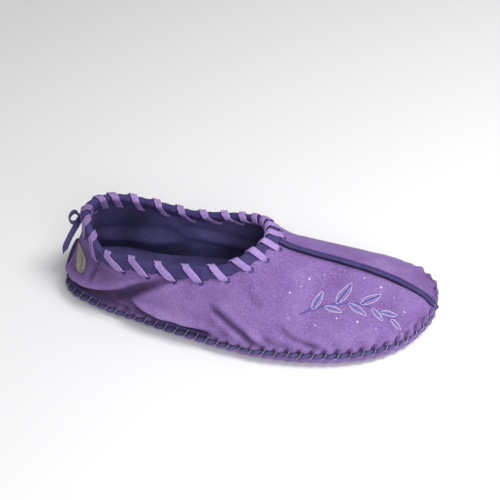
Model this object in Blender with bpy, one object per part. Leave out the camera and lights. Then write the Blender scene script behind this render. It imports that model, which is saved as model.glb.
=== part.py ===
"""Soft leather moccasin slipper for the right foot, stitched all round its sole and laced round its collar.

Sizes are in millimetres from the lowest point of the heel: +X to the toe, +Y to the inner side of the
foot, +Z up. Each half of the upper is a loft. A section runs up from the sole seam to the collar, and
forward of the throat to the raised seam along the middle of the toe. The meshes are then moved so that the
origin is the middle of the slipper's base.
"""

import math

import bmesh
import bpy
import numpy as np
from mathutils.bvhtree import BVHTree

MM = 0.001

# Sections from heel to toe. base_x, base_y and foot_z: the upper's lower edge, with base_y out from the
# middle. top_x, top_y and top_z: the collar up to the throat, then the middle seam. low_in, low_up, high_out
# and high_down: the two handles of the section's curve, and high_fore moves the upper one to the toe.
OUTER_SIDE = [
    (0.0, 0.0, 6.2, 20.0, 0.0, 59.0, 3.6, 18.0, 3.0, 20.0, 0.0),
    (7.0, 17.7, 6.2, 33.0, 16.0, 45.8, 2.4, 19.0, 4.0, 20.0, 0.0),
    (28.0, 28.6, 6.4, 43.7, 22.8, 44.4, 1.0, 18.0, 5.0, 20.0, 0.0),
    (58.0, 37.0, 6.9, 60.3, 26.6, 46.8, 1.0, 18.0, 6.0, 18.0, 0.0),
    (92.0, 45.0, 7.6, 91.0, 29.8, 48.2, 0.0, 18.0, 8.0, 16.0, 0.0),
    (122.0, 51.0, 8.8, 124.0, 26.7, 51.2, 0.0, 18.0, 9.5, 12.5, 1.5),
    (145.0, 54.0, 9.7, 141.0, 16.0, 57.2, 0.0, 18.0, 14.5, 7.2, 4.5),
    (163.0, 54.6, 10.3, 149.5, 0.0, 60.0, 0.0, 18.0, 18.5, 3.4, 4.0),
    (183.0, 53.0, 11.0, 167.0, 0.0, 52.3, 0.0, 16.0, 20.0, 2.4, 1.0),
    (205.0, 48.8, 11.0, 198.0, 0.0, 43.2, 0.0, 14.0, 19.0, 3.6, 0.0),
    (227.5, 39.2, 11.0, 221.3, 0.0, 34.7, 0.0, 12.0, 15.7, 4.8, 0.0),
    (245.0, 23.9, 11.0, 239.7, 0.0, 25.5, 0.0, 8.0, 10.5, 5.6, 0.0),
    (255.3, 4.4, 11.0, 251.0, 0.0, 17.6, 0.0, 3.5, 5.0, 3.8, 0.0),
]
INNER_SIDE = [
    (0.0, 0.0, 6.2, 20.0, 0.0, 59.0, 3.6, 18.0, 3.0, 20.0, 0.0),
    (7.0, 23.5, 6.2, 22.0, 17.0, 59.0, 2.0, 19.0, 4.0, 20.0, 0.0),
    (28.0, 32.0, 6.4, 36.3, 26.5, 57.0, 1.0, 18.0, 5.0, 20.0, 0.0),
    (58.0, 29.6, 6.9, 59.2, 28.6, 53.5, 1.0, 18.0, 6.0, 18.0, 0.0),
    (92.0, 30.5, 7.6, 90.5, 26.0, 50.8, 0.0, 18.0, 8.0, 16.0, 0.0),
    (122.0, 33.6, 8.8, 121.5, 24.6, 54.2, 0.0, 18.0, 9.0, 12.5, 2.5),
    (145.0, 37.0, 9.7, 142.0, 16.6, 59.2, 0.0, 18.0, 13.5, 7.0, 7.0),
    (163.0, 40.8, 10.3, 149.5, 0.0, 60.0, 0.0, 18.0, 18.5, 3.4, 9.0),
    (183.0, 45.3, 11.0, 167.0, 0.0, 52.3, 0.0, 17.0, 21.0, 2.4, 4.5),
    (205.0, 47.4, 11.0, 198.0, 0.0, 43.2, 0.0, 13.7, 19.4, 2.0, 1.0),
    (227.5, 46.8, 11.0, 221.3, 0.0, 34.7, 0.0, 10.6, 14.5, 3.0, 0.0),
    (245.0, 42.2, 11.0, 239.7, 0.0, 25.5, 0.0, 7.7, 9.8, 4.2, 0.0),
    (255.3, 29.9, 11.0, 251.0, 0.0, 17.6, 0.0, 3.5, 5.0, 3.8, 0.0),
]
THROAT = 7
SEAM_Y = (0.0, -0.3, 3.2, 6.3, 8.0, 9.2)
TOE_BASE = (258.0, 8.5, 11.0)
TOE_TOP = (255.0, 8.7, 15.2)

WALL = 1.9
GAP = 0.4

SOLE_THICK = 3.0
EDGE_MORE = 1.3
HEEL_FOOT_Z = 6.2
SOLE_ROLL = 9.0
WELT_HIGH = 2.5
WELT_PROUD = 0.9
WELT_DEEP = 3.6
INSOLE_THICK = 2.5
INSOLE_INSET = 4.8

BIND_THICK = 1.2
BIND_OUT_DEEP = 6.7
BIND_IN_DEEP = 5.8
BIND_STATIONS = 62

LACE_WIDE = 4.6
LACE_THICK = 1.2
BOW_WIDE = 3.8
LACE_IN_HOLE = 2.5
HOLE_R = 2.0
HOLE_DEEP = 9.0
KNOT_BACK = 10.5
# Places are in mm along the collar from the heel, over the outer side, the throat and the inner side. The
# lace's steps are wide along the sides and short round the throat and the heel, where they hold the curve.
WRAP_COUNT = 23
WRAP_FIRST = -4.0
THROAT_PLACE = 172.0
OUTER_STEP = 19.6
INNER_STEP = 17.5
THROAT_STEP = 8.0
HEEL_SHORTER = 10.0
KNOT_PLACE = 304.0
KNOT_SHORTER = 8.0
# Each crossing leans on to its next hole, most along the sides.
SIDE_SLANT = 12.5
THROAT_SLANT = 2.0
HEEL_SLANT = 5.0

SEAM_STRIP_WIDE = 4.2
SEAM_STRIP_HIGH = 1.6


def spline(points, t):
    """A smooth curve through points 1 to n-2, which starts at point 1 for t = 0 (uniform Catmull-Rom)."""
    points = np.asarray(points, float)
    t = np.asarray(t, float)
    i = np.clip(np.floor(t).astype(int), 0, len(points) - 4)
    f = (t - i)[..., None]
    a = points[i]
    b = points[i + 1]
    c = points[i + 2]
    d = points[i + 3]
    return 0.5 * (2 * b + (c - a) * f + (2 * a - 5 * b + 4 * c - d) * f**2 + (3 * b - a - 3 * c + d) * f**3)


def signed_rows(rows, sign):
    """The table as an array, with y in the shoe's own frame."""
    table = np.array(rows, float)
    table[:, 1] *= sign
    table[:, 4] *= sign
    table[THROAT:, 4] += np.array(SEAM_Y)
    return table


OUTER_ROWS = signed_rows(OUTER_SIDE, -1)
INNER_ROWS = signed_rows(INNER_SIDE, 1)
TOE_ROW = np.array([*TOE_BASE, *TOE_TOP, 0.0, 1.4, 1.0, 0.8, 0.0])
LAST = len(OUTER_SIDE)


def with_ends(near, far):
    """One side's rows, with the other side's beyond the heel and the toe, so that both meet smoothly."""
    beyond = far[-1].copy()
    beyond[3:6] = 2 * TOE_ROW[3:6] - near[-1, 3:6]
    return np.vstack([far[1], near, TOE_ROW, beyond])


SIDES = (with_ends(OUTER_ROWS, INNER_ROWS), with_ends(INNER_ROWS, OUTER_ROWS))
COLLARS = (
    np.vstack([INNER_ROWS[1], OUTER_ROWS[: THROAT + 1], INNER_ROWS[THROAT - 1]])[:, 3:6],
    np.vstack([OUTER_ROWS[1], INNER_ROWS[: THROAT + 1], OUTER_ROWS[THROAT - 1]])[:, 3:6],
)


def top_line(side, t):
    """The collar up to the throat, then the middle seam."""
    t = np.asarray(t, float)
    collar = spline(COLLARS[side], np.minimum(t, THROAT - 1e-9))
    seam_rows = np.vstack([OUTER_ROWS[THROAT:, 3:6], TOE_ROW[3:6], SIDES[0][-1, 3:6]])
    seam_rows = np.vstack([2 * seam_rows[0] - seam_rows[1], seam_rows])
    seam = spline(seam_rows, np.maximum(t - THROAT, 0.0))
    return np.where((t < THROAT)[..., None], collar, seam)


def outward(side, t):
    """The level direction straight out from the sole's outline."""
    step = 1e-3
    t = np.asarray(t, float)
    run = (spline(SIDES[side], t + step) - spline(SIDES[side], t - step))[..., :2]
    run = run / np.linalg.norm(run, axis=-1, keepdims=True)
    turn = -1.0 if side == 0 else 1.0
    return np.stack([-run[..., 1] * turn, run[..., 0] * turn, 0 * run[..., 0]], -1)


def section_point(side, t, v):
    """A point at v of the way up section t, by the table alone."""
    row = spline(SIDES[side], t)
    up = np.array([0.0, 0.0, 1.0])
    fore = np.array([1.0, 0.0, 0.0])
    out = outward(side, t)
    v = np.asarray(v, float)[..., None]
    base = row[..., 0:3]
    top = top_line(side, t)
    low = base - out * row[..., 6:7] + up * row[..., 7:8]
    high = top + out * row[..., 8:9] - up * row[..., 9:10] + fore * row[..., 10:11]
    return (1 - v) ** 3 * base + 3 * (1 - v) ** 2 * v * low + 3 * (1 - v) * v**2 * high + v**3 * top


def wall(side, t, v):
    """A point of the outside of the upper. Below the throat's edge, neighbouring sections are averaged."""
    t = np.asarray(t, float)
    v = np.asarray(v, float)
    plain = section_point(side, t, v)
    near = np.exp(-((t - THROAT) / 1.3) ** 2) * np.clip((1 - v) / 0.22, 0, 1) * np.clip(v / 0.2, 0, 1)
    total = 2 * plain
    for step in (0.35, 0.7):
        total = total + section_point(side, t - step, v) + section_point(side, t + step, v)
    return plain + near[..., None] * (total / 6 - plain)


STATIONS = np.concatenate([
    np.arange(0.0, 2.0, 0.2),
    np.arange(2.0, 5.0, 0.5),
    (5.0, 5.35, 5.7),
    (6.0, 6.3, 6.55, 6.78),
    np.arange(7.0, 11.0, 0.5),
    np.arange(11.0, 12.9, 0.32),
    (LAST,),
])
HEIGHTS = np.array([0.0, 0.12, 0.25, 0.38, 0.51, 0.63, 0.74, 0.84, 0.92, 1.0])


def shell(stations, heights):
    """Points and faces of the upper's outside, both halves joined at the heel, middle seam and toe."""
    points = []
    faces = []
    for side in (0, 1):
        t, v = np.meshgrid(stations, heights, indexing="ij")
        first = len(points)
        points.extend(wall(side, t, v).reshape(-1, 3))
        wide = len(heights)
        for i in range(len(stations) - 1):
            for j in range(wide - 1):
                a = first + i * wide + j
                quad = (a, a + wide, a + wide + 1, a + 1)
                faces.append(quad if side == 0 else quad[::-1])
    return np.array(points), faces


FINE_POINTS, FINE_FACES = shell(np.linspace(0, LAST, 131), np.linspace(0, 1, 25))
WALL_TREE = BVHTree.FromPolygons([tuple(p) for p in FINE_POINTS], FINE_FACES)


def on_wall(point):
    """The nearest point of the outside of the upper, and the way out there, smoothed over 4 mm."""
    place = WALL_TREE.find_nearest(tuple(point))[0]
    near = [hit[1] for hit in WALL_TREE.find_nearest_range(place, 4.0)]
    way = np.array([tuple(n) for n in near]).sum(axis=0)
    return np.array(place), way / np.linalg.norm(way)


def even(points, count, closed):
    """The same path with points at even distances."""
    if closed:
        points = np.vstack([points, points[:1]])
    along = np.concatenate([[0.0], np.cumsum(np.linalg.norm(np.diff(points, axis=0), axis=1))])
    places = np.linspace(0, along[-1], count + 1 if closed else count)
    if closed:
        places = places[:-1]
    return np.stack([np.interp(places, along, points[:, k]) for k in range(3)], -1), along[-1]


def unit(vector):
    return vector / np.linalg.norm(vector, axis=-1, keepdims=True)


# The collar as one loop: from the heel along the outer side to the throat, and back along the inner side.
OUTER_COLLAR = top_line(0, np.linspace(0, THROAT - 1e-6, 200))
INNER_COLLAR = top_line(1, np.linspace(0, THROAT - 1e-6, 200))
COLLAR, COLLAR_LONG = even(np.vstack([OUTER_COLLAR, INNER_COLLAR[-2:0:-1]]), 400, True)
COLLAR_RUN = unit(np.roll(COLLAR, -2, axis=0) - np.roll(COLLAR, 2, axis=0))
COLLAR_OUT = np.array([on_wall(p)[1] for p in COLLAR])
for _ in range(6):
    COLLAR_OUT = unit(np.roll(COLLAR_OUT, 1, axis=0) + COLLAR_OUT + np.roll(COLLAR_OUT, -1, axis=0))
COLLAR_OUT = unit(COLLAR_OUT - (COLLAR_OUT * COLLAR_RUN).sum(axis=1, keepdims=True) * COLLAR_RUN)
COLLAR_DOWN = np.cross(COLLAR_RUN, COLLAR_OUT)


def close_to(u, place, reach):
    """1 at a place along the collar, fading to 0 on both sides of it."""
    return math.exp(-(((u - place) / reach) ** 2))


def hole_deep(u):
    """How far below the edge a lace hole lies: a little deeper at the throat than along the sides."""
    return HOLE_DEEP + 1.3 * close_to(u, 0.48 * COLLAR_LONG, 26.0)


def wrap_step(u):
    """How far the lace steps on round the collar at u."""
    if u < THROAT_PLACE:
        step = OUTER_STEP - (OUTER_STEP - THROAT_STEP) * close_to(u, THROAT_PLACE, 50.0)
    else:
        step = INNER_STEP - (INNER_STEP - THROAT_STEP) * close_to(u, THROAT_PLACE, 34.0)
    return step - HEEL_SHORTER * close_to(u, 4.0, 12.0) - KNOT_SHORTER * close_to(u, KNOT_PLACE, 17.0)


def wrap_slant(u):
    """How far a crossing leans on to its hole at u."""
    slant = SIDE_SLANT - (SIDE_SLANT - THROAT_SLANT) * close_to(u, THROAT_PLACE, 55.0)
    return slant - (SIDE_SLANT - HEEL_SLANT) * (close_to(u, 0.0, 18.0) + close_to(u, KNOT_PLACE, 18.0))


def wrap_places():
    """Where the lace goes over the collar's edge, one step after another from the heel."""
    places = [WRAP_FIRST]
    while len(places) < WRAP_COUNT:
        half_way = places[-1] + wrap_step(places[-1]) / 2
        places.append(places[-1] + wrap_step(half_way))
    return places


WRAP_PLACES = wrap_places()
WRAP_SLANTS = [wrap_slant((here + there) / 2) for here, there in zip(WRAP_PLACES, WRAP_PLACES[1:])]


def collar_frame(u):
    """The collar's point at u mm from the heel, and its directions along, out and down the wall."""
    i = (u / COLLAR_LONG * len(COLLAR)) % len(COLLAR)
    a = int(i)
    b = (a + 1) % len(COLLAR)
    f = i - a
    mixed = [(1 - f) * array[a] + f * array[b] for array in (COLLAR, COLLAR_RUN, COLLAR_OUT, COLLAR_DOWN)]
    return mixed[0], unit(mixed[1]), unit(mixed[2]), unit(mixed[3])


def by_collar(u, down, out):
    """A point u along the collar, down mm below its edge along the wall, out mm from the wall's outside."""
    place, _, normal, below = collar_frame(u)
    if down <= 0:
        return place + below * down + normal * out
    foot, way = on_wall(place + below * down)
    blend = min(1.0, down / 4.0)
    return foot + unit(normal * (1 - blend) + way * blend) * out


for old in list(bpy.data.objects):
    bpy.data.objects.remove(old)


def collection(name):
    made = bpy.data.collections.new(name)
    bpy.context.scene.collection.children.link(made)
    return made


PARTS = collection("leather_slipper")
CUTTERS = collection("cutters")


def material(name, colour, roughness):
    made = bpy.data.materials.new(name)
    made.use_nodes = True
    shader = made.node_tree.nodes["Principled BSDF"]
    shader.inputs["Base Color"].default_value = (*colour, 1.0)
    shader.inputs["Roughness"].default_value = roughness
    return made


UPPER_LEATHER = material("upper_leather", (0.29, 0.17, 0.47), 0.7)
SOLE_LEATHER = material("sole_leather", (0.27, 0.15, 0.45), 0.7)
DARK_SUEDE = material("dark_suede", (0.05, 0.035, 0.14), 0.9)
LACE_LEATHER = material("lace_leather", (0.42, 0.29, 0.62), 0.65)
BOW_LEATHER = material("bow_leather", (0.1, 0.06, 0.21), 0.75)
TAG_LEATHER = material("tag_leather", (0.3, 0.32, 0.25), 0.6)


def add(name, points, faces, look, where=PARTS):
    """A mesh object from points in mm, with doubled points joined."""
    mesh = bpy.data.meshes.new(name)
    mesh.from_pydata([tuple(p * MM) for p in points], [], faces)
    shape = bmesh.new()
    shape.from_mesh(mesh)
    bmesh.ops.remove_doubles(shape, verts=shape.verts, dist=1e-5)
    shape.to_mesh(mesh)
    shape.free()
    mesh.materials.append(look)
    made = bpy.data.objects.new(name, mesh)
    where.objects.link(made)
    return made


def outwards(made):
    """Turns a closed mesh's faces to point out."""
    shape = bmesh.new()
    shape.from_mesh(made.data)
    bmesh.ops.recalc_face_normals(shape, faces=shape.faces)
    if shape.calc_volume(signed=True) < 0:
        bmesh.ops.reverse_faces(shape, faces=shape.faces)
    shape.to_mesh(made.data)
    shape.free()
    return made


def loft(name, rings, look, around=False):
    """A solid through rings of equal length: each ring is one section, and the first and last are capped."""
    rings = np.asarray(rings, float)
    count, size = rings.shape[:2]
    faces = []
    for i in range(count if around else count - 1):
        for j in range(size):
            a = i * size + j
            b = i * size + (j + 1) % size
            c = ((i + 1) % count) * size
            faces.append((a, b, c + (j + 1) % size, c + j))
    if not around:
        faces.append(tuple(range(size))[::-1])
        faces.append(tuple((count - 1) * size + j for j in range(size)))
    return outwards(add(name, rings.reshape(-1, 3), faces, look))


def stacked(name, rings, look):
    """A solid from closed level loops stacked one on the next: the first and last loops are filled."""
    rings = np.asarray(rings, float)
    count, size = rings.shape[:2]
    faces = []
    for i in range(count - 1):
        for j in range(size):
            k = (j + 1) % size
            faces.append((i * size + j, i * size + k, (i + 1) * size + k, (i + 1) * size + j))
    faces.append(tuple(range(size)))
    faces.append(tuple((count - 1) * size + j for j in range(size)))
    return outwards(add(name, rings.reshape(-1, 3), faces, look))


# The upper: the outside surface, with its wall inside it, and the holes that the lace runs through.
def hollow_upper():
    """The outside, the inside WALL further in, and two edges: at the collar, and over the sole's welt."""
    outside, faces = shell(STATIONS, HEIGHTS)
    inside = np.array([p - on_wall(p)[1] * WALL for p in outside])
    wide = len(HEIGHTS)
    half = len(STATIONS) * wide
    count = len(outside)
    all_faces = list(faces) + [tuple(count + k for k in face[::-1]) for face in faces]
    for side in (0, 1):
        first = side * half
        out = outward(side, STATIONS)
        for i in range(len(STATIONS)):
            edge = first + i * wide
            inside[edge] = outside[edge] - out[i] * WALL
            for k in range(edge + 1, edge + 4):
                inside[k][2] = max(inside[k][2], outside[edge][2] + 0.2 * (k - edge))
        for i in range(len(STATIONS) - 1):
            a = first + i * wide
            b = a + wide
            low = (a, count + a, count + b, b)
            all_faces.append(low if side == 0 else low[::-1])
            if STATIONS[i] < THROAT - 1e-6:
                a += wide - 1
                b += wide - 1
                high = (a, b, count + b, count + a)
                all_faces.append(high if side == 0 else high[::-1])
    return outwards(add("upper", np.vstack([outside, inside]), all_faces, UPPER_LEATHER))


upper = hollow_upper()


def hole_cutter():
    """One short eight-sided rod through the wall for each lace hole, all in one mesh."""
    points = []
    faces = []
    for start, slant in zip(WRAP_PLACES, WRAP_SLANTS):
        u = start + slant
        inner = by_collar(u, hole_deep(u), -WALL - 2.0)
        outer = by_collar(u, hole_deep(u), 2.0)
        axis = unit(outer - inner)
        side = unit(np.cross(axis, (0.3, 0.2, 0.93)))
        rise = np.cross(axis, side)
        first = len(points)
        for end in (inner, outer):
            for k in range(8):
                a = math.tau * (k + 0.5) / 8
                points.append(end + HOLE_R * (side * math.cos(a) + rise * math.sin(a)))
        for k in range(8):
            n = (k + 1) % 8
            faces.append((first + k, first + n, first + 8 + n, first + 8 + k))
        faces.append(tuple(first + k for k in range(8))[::-1])
        faces.append(tuple(first + 8 + k for k in range(8)))
    made = outwards(add("lace_hole_cutter", points, faces, DARK_SUEDE, CUTTERS))
    made.hide_render = True
    made.display_type = "WIRE"
    return made


punch = upper.modifiers.new("lace_holes", "BOOLEAN")
punch.operation = "DIFFERENCE"
punch.solver = "EXACT"
punch.object = hole_cutter()

# The sole, its welt and the insole follow one outline: heel, outer side, toe, inner side.
RIM_SIDE = [0] * len(STATIONS) + [1] * (len(STATIONS) - 2)
RIM_T = np.concatenate([STATIONS, STATIONS[-2:0:-1]])
RIM = np.array([spline(SIDES[k], t)[0:3] for k, t in zip(RIM_SIDE, RIM_T)])
RIM_OUT = np.array([outward(k, t) for k, t in zip(RIM_SIDE, RIM_T)])


def rim_loop(inset, height):
    """The sole's outline moved in by inset, with heights from the upper's lower edge."""
    loop = RIM - RIM_OUT * inset
    loop[:, 2] = height
    return loop


# 0 at the heel, where the sole is tucked in under the welt, and 1 at the toe, where its edge is full and
# turned up.
RIM_FULL = (RIM[:, 2] - HEEL_FOOT_Z) / (TOE_BASE[2] - HEEL_FOOT_Z)


def sole_low(inset):
    """The underside's height: flat on the floor, and turned up within SOLE_ROLL of the outline."""
    f = np.clip(1 - inset / SOLE_ROLL, 0, 1)
    edge = RIM[:, 2] - WELT_HIGH - 0.6 - SOLE_THICK - EDGE_MORE * RIM_FULL
    return edge * f * f * (3 - 2 * f)


def sole_high(inset):
    """The height of the sole's upper face, which meets the welt at the outline."""
    f = np.clip(1 - inset / SOLE_ROLL, 0, 1)
    return SOLE_THICK + (RIM[:, 2] - WELT_HIGH - 0.6 - SOLE_THICK) * f * f * (3 - 2 * f)


sole_rings = [
    rim_loop(10.0, 0.0),
    rim_loop(6.5, sole_low(6.5)),
    rim_loop(3.5, sole_low(3.5)),
    rim_loop((2.4 - 1.4 * RIM_FULL)[:, None], sole_low(1.0)),
    rim_loop((1.2 - 1.7 * RIM_FULL)[:, None], sole_low(0.0) + 1.3),
    rim_loop((1.0 - 1.3 * RIM_FULL)[:, None], sole_high(0.0) - 0.8),
    rim_loop((1.8 - 1.0 * RIM_FULL)[:, None], sole_high(0.8)),
    rim_loop(4.6, sole_high(4.6)),
    rim_loop(10.0, SOLE_THICK),
]
stacked("sole", sole_rings, SOLE_LEATHER)

insole_rings = [
    rim_loop(10.5, SOLE_THICK + 0.3),
    rim_loop(INSOLE_INSET, sole_high(INSOLE_INSET) + 0.3),
    rim_loop(INSOLE_INSET, sole_high(INSOLE_INSET) + 0.3 + INSOLE_THICK),
    rim_loop(7.5, sole_high(7.5) + 0.3 + INSOLE_THICK),
    rim_loop(11.0, SOLE_THICK + 0.3 + INSOLE_THICK),
]
stacked("insole", insole_rings, DARK_SUEDE)

welt_top = RIM[:, 2] - 0.3
welt_low = welt_top - WELT_HIGH
welt_sections = np.stack([
    rim_loop(WELT_DEEP, welt_low),
    rim_loop(-WELT_PROUD + 0.5, welt_low),
    rim_loop(-WELT_PROUD, welt_low + WELT_HIGH / 2),
    rim_loop(-WELT_PROUD + 0.5, welt_top),
    rim_loop(WELT_DEEP, welt_top),
], axis=1)
loft("sole_welt", welt_sections, DARK_SUEDE, around=True)


def binding_section(u):
    """The binding folded over the collar: one leg outside the wall, one inside, and the fold between them."""
    near = GAP
    far = GAP + BIND_THICK
    outline = [
        (BIND_OUT_DEEP, far),
        (4.0, far),
        (0.4, far),
        (-far + 0.1, 0.2),
        (-far + 0.1, -WALL - 0.2),
        (0.4, -WALL - far),
        (3.4, -WALL - far),
        (BIND_IN_DEEP, -WALL - far),
        (BIND_IN_DEEP, -WALL - near),
        (3.4, -WALL - near),
        (-near, -WALL - near),
        (-near, near),
        (4.0, near),
        (BIND_OUT_DEEP, near),
    ]
    return [by_collar(u, down, out) for down, out in outline]


# Its sections stand closer together round the heel and round the throat.
bind_share = np.arange(BIND_STATIONS) / BIND_STATIONS
bind_places = COLLAR_LONG * (bind_share - 0.4 / (4 * math.pi) * np.sin(4 * math.pi * bind_share))
loft("collar_binding", [binding_section(u) for u in bind_places], DARK_SUEDE, around=True)


def ribbon(path, width_way, wide, thick_mm):
    """Sections of a flat lace along a path: wide across width_way, and thin the other way."""
    path = np.asarray(path, float)
    run = np.empty_like(path)
    run[1:-1] = path[2:] - path[:-2]
    run[0] = path[1] - path[0]
    run[-1] = path[-1] - path[-2]
    run = unit(run)
    across = np.asarray(width_way, float)
    across = unit(across - (across * run).sum(axis=1, keepdims=True) * run)
    through = np.cross(run, across)
    half = np.broadcast_to(np.asarray(wide, float) / 2, len(path))[:, None]
    deep = thick_mm / 2
    corners = [
        path + across * half + through * deep,
        path - across * half + through * deep,
        path - across * half - through * deep,
        path + across * half - through * deep,
    ]
    return np.stack(corners, axis=1)


def collar_lace():
    """One lace over and over the binding: out of a hole, over the edge, down inside, out of the next."""
    out = GAP + BIND_THICK + 0.5 + LACE_THICK / 2
    inside = -WALL - out - 0.1
    path = []
    ways = []
    wide = []

    def put(u, down, away, narrow=0.0):
        path.append(by_collar(u, down, away))
        ways.append(collar_frame(u)[1])
        wide.append(LACE_WIDE * (1 - narrow) + LACE_IN_HOLE * narrow)

    def cross(u, lean):
        put(u - 0.6, -1.7, -WALL - 2.1)
        put(u, -out - 0.2, -WALL / 2)
        put(u + 0.6, -1.7, 2.1)
        put(u + lean, 1.4, out + 0.2)

    first = WRAP_PLACES[0]
    put(first - 2.6, 5.6, inside)
    put(first - 1.2, 1.6, inside - 0.2)
    for start, slant, following in zip(WRAP_PLACES, WRAP_SLANTS, WRAP_PLACES[1:]):
        hole = start + slant
        rest = following - hole
        deep = hole_deep(hole)
        cross(start, 0.13 * slant)
        put(start + 0.5 * slant, 4.4, out)
        put(start + 0.78 * slant, deep - 2.1, out - 0.1, 0.35)
        put(start + 0.95 * slant, deep - 0.6, 1.3, 0.8)
        put(hole, deep, -WALL / 2, 1.0)
        put(hole + 0.05 * rest, deep - 0.6, -WALL - 1.3, 0.8)
        put(hole + 0.2 * rest, deep - 2.3, inside, 0.35)
        put(hole + 0.5 * rest, 4.4, inside)
        put(hole + 0.88 * rest, 1.4, inside - 0.2)
    cross(WRAP_PLACES[-1], 0.4)
    return loft("collar_lace", ribbon(path, ways, wide, LACE_THICK), LACE_LEATHER)


collar_lace()

# The raised strip in the middle seam: from the binding at the throat to a short end past the toe.
strip_t = np.concatenate([np.linspace(THROAT + 0.54, 12.0, 17), (12.4, 12.75)])
strip_path = top_line(0, strip_t)
strip_path = np.vstack([strip_path, [(257.5, 8.6, 13.6), (262.5, 8.6, 12.9)]])
strip_run = unit(np.gradient(strip_path, axis=0))
strip_side = unit(np.cross(strip_run, (0.0, 0.0, -1.0)))
strip_up = np.cross(strip_side, strip_run)
strip_up = strip_up * np.sign(strip_up[:, 2:3])
half_wide = SEAM_STRIP_WIDE / 2
low_up = GAP + 0.1
strip_sections = np.stack([
    strip_path + strip_side * half_wide + strip_up * low_up,
    strip_path + strip_side * half_wide + strip_up * (low_up + SEAM_STRIP_HIGH - 0.4),
    strip_path + strip_side * (half_wide - 0.4) + strip_up * (low_up + SEAM_STRIP_HIGH),
    strip_path - strip_side * (half_wide - 0.4) + strip_up * (low_up + SEAM_STRIP_HIGH),
    strip_path - strip_side * half_wide + strip_up * (low_up + SEAM_STRIP_HIGH - 0.4),
    strip_path - strip_side * half_wide + strip_up * low_up,
], axis=1)
loft("front_welt", strip_sections, DARK_SUEDE)

# The heel seam's welt, from above the sole to below the binding.
heel_sections = []
for v, proud in zip(np.linspace(0.06, 0.62, 9), (1.4, 1.9, 2.2, 2.4, 2.5, 2.6, 2.6, 2.4, 1.6)):
    spine = wall(0, 0.0, v)
    ring = []
    low, high = 0.5, 0.7 * proud
    for across, away in ((-2.6, low), (-2.6, high), (0.0, proud), (2.6, high), (2.6, low), (0.0, 0.45)):
        foot, way = on_wall(spine + np.array((0.0, across, 0.0)))
        ring.append(foot + way * away)
    heel_sections.append(ring)
loft("heel_welt", heel_sections, DARK_SUEDE)

# A bare leaf-shaped tab on the outer side of the heel seam.
tag_sections = []
for rise, half in ((0, 1.4), (2.5, 3.6), (6, 4.8), (10, 4.9), (14, 3.9), (18, 2.5), (21.5, 1.2)):
    ring = []
    centre = np.array((19.8, -20.0, 22.3)) + rise * np.array((-0.25, 0.73, 0.63))
    for across, away in ((-1, 0.45), (-1, 1.35), (0, 1.45), (1, 1.35), (1, 0.45), (0, 0.5)):
        foot, way = on_wall(centre + across * half * np.array((0.8, -0.27, 0.53)))
        ring.append(foot + way * away)
    tag_sections.append(ring)
loft("heel_tag", tag_sections, TAG_LEATHER)

# The bow behind the heel, a little to the inner side, where the lace's two ends are tied.
KNOT = by_collar(COLLAR_LONG - KNOT_BACK, 13.5, GAP + 2.6)
bpy.ops.mesh.primitive_uv_sphere_add(segments=12, ring_count=8, radius=1.0)
knot = bpy.context.object
knot.name = "bow_knot"
for old in list(knot.users_collection):
    old.objects.unlink(knot)
PARTS.objects.link(knot)
knot.data.materials.append(BOW_LEATHER)
for vertex in knot.data.vertices:
    vertex.co = [(vertex.co[k] * (2.5, 3.8, 3.3)[k] + KNOT[k]) * MM for k in range(3)]


def bow_piece(name, places, width_way):
    """A flat lace through points in the slipper's own mm, as in the tables of the wall."""
    path = spline([2 * np.array(places[0]) - places[1], *places, 2 * np.array(places[-1]) - places[-2]],
                  np.linspace(0, len(places) - 1 - 1e-9, 2 * len(places) + 2))
    ways = np.broadcast_to(unit(np.asarray(width_way, float)), path.shape)
    return loft(name, ribbon(path, ways, BOW_WIDE, LACE_THICK), BOW_LEATHER)


def behind(places):
    """Points along, down and out from the knot on the inner side's wall."""
    return [by_collar(COLLAR_LONG - KNOT_BACK - back, down, out) for back, down, out in places]


bow_piece("bow_loop_lateral", [
    (11.8, 4.1, 48.2),
    (10.2, 1.6, 48.6),
    (8.0, 1.4, 49.2),
    (5.9, 3.8, 49.8),
    (5.3, 7.8, 50.2),
    (6.3, 11.0, 50.2),
    (8.0, 11.6, 49.4),
    (9.4, 10.6, 48.6),
], (0.12, -0.2, 0.95))
bow_piece("bow_tail_lateral", [
    (10.8, 8.2, 45.3),
    (7.0, 5.4, 39.6),
    (3.4, 3.2, 33.6),
    (0.6, 0.6, 27.8),
    (-1.6, -2.0, 22.2),
], (0.93, 0.36, 0.0))
bow_piece("bow_loop_medial", behind([
    (3.7, 13.2, 3.4),
    (8.0, 13.0, 3.8),
    (12.0, 14.6, 4.0),
    (14.2, 18.6, 4.0),
    (12.6, 22.6, 3.8),
    (9.0, 22.2, 3.6),
    (6.4, 19.0, 3.4),
    (3.7, 15.7, 3.4),
]), collar_frame(COLLAR_LONG - KNOT_BACK - 10.0)[2])
bow_piece("bow_tail_medial", behind([
    (1.2, 17.5, 2.4),
    (4.0, 22.6, 2.6),
    (6.6, 28.6, 3.0),
    (8.6, 34.6, 3.6),
    (10.0, 40.0, 4.4),
]), collar_frame(COLLAR_LONG - KNOT_BACK)[0] - collar_frame(COLLAR_LONG - KNOT_BACK - 8.0)[0])

# Every mesh moves together, so that the origin is the middle of the slipper's base without its bow.
bpy.context.view_layer.update()
corners = np.array([
    vertex.co[:]
    for made in PARTS.objects
    if not made.name.startswith("bow_")
    for vertex in made.data.vertices
])
low = corners.min(axis=0)
high = corners.max(axis=0)
shift = (-(low[0] + high[0]) / 2, -(low[1] + high[1]) / 2, -low[2])
for made in list(PARTS.objects) + list(CUTTERS.objects):
    for vertex in made.data.vertices:
        vertex.co = [vertex.co[k] + shift[k] for k in range(3)]
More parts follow.
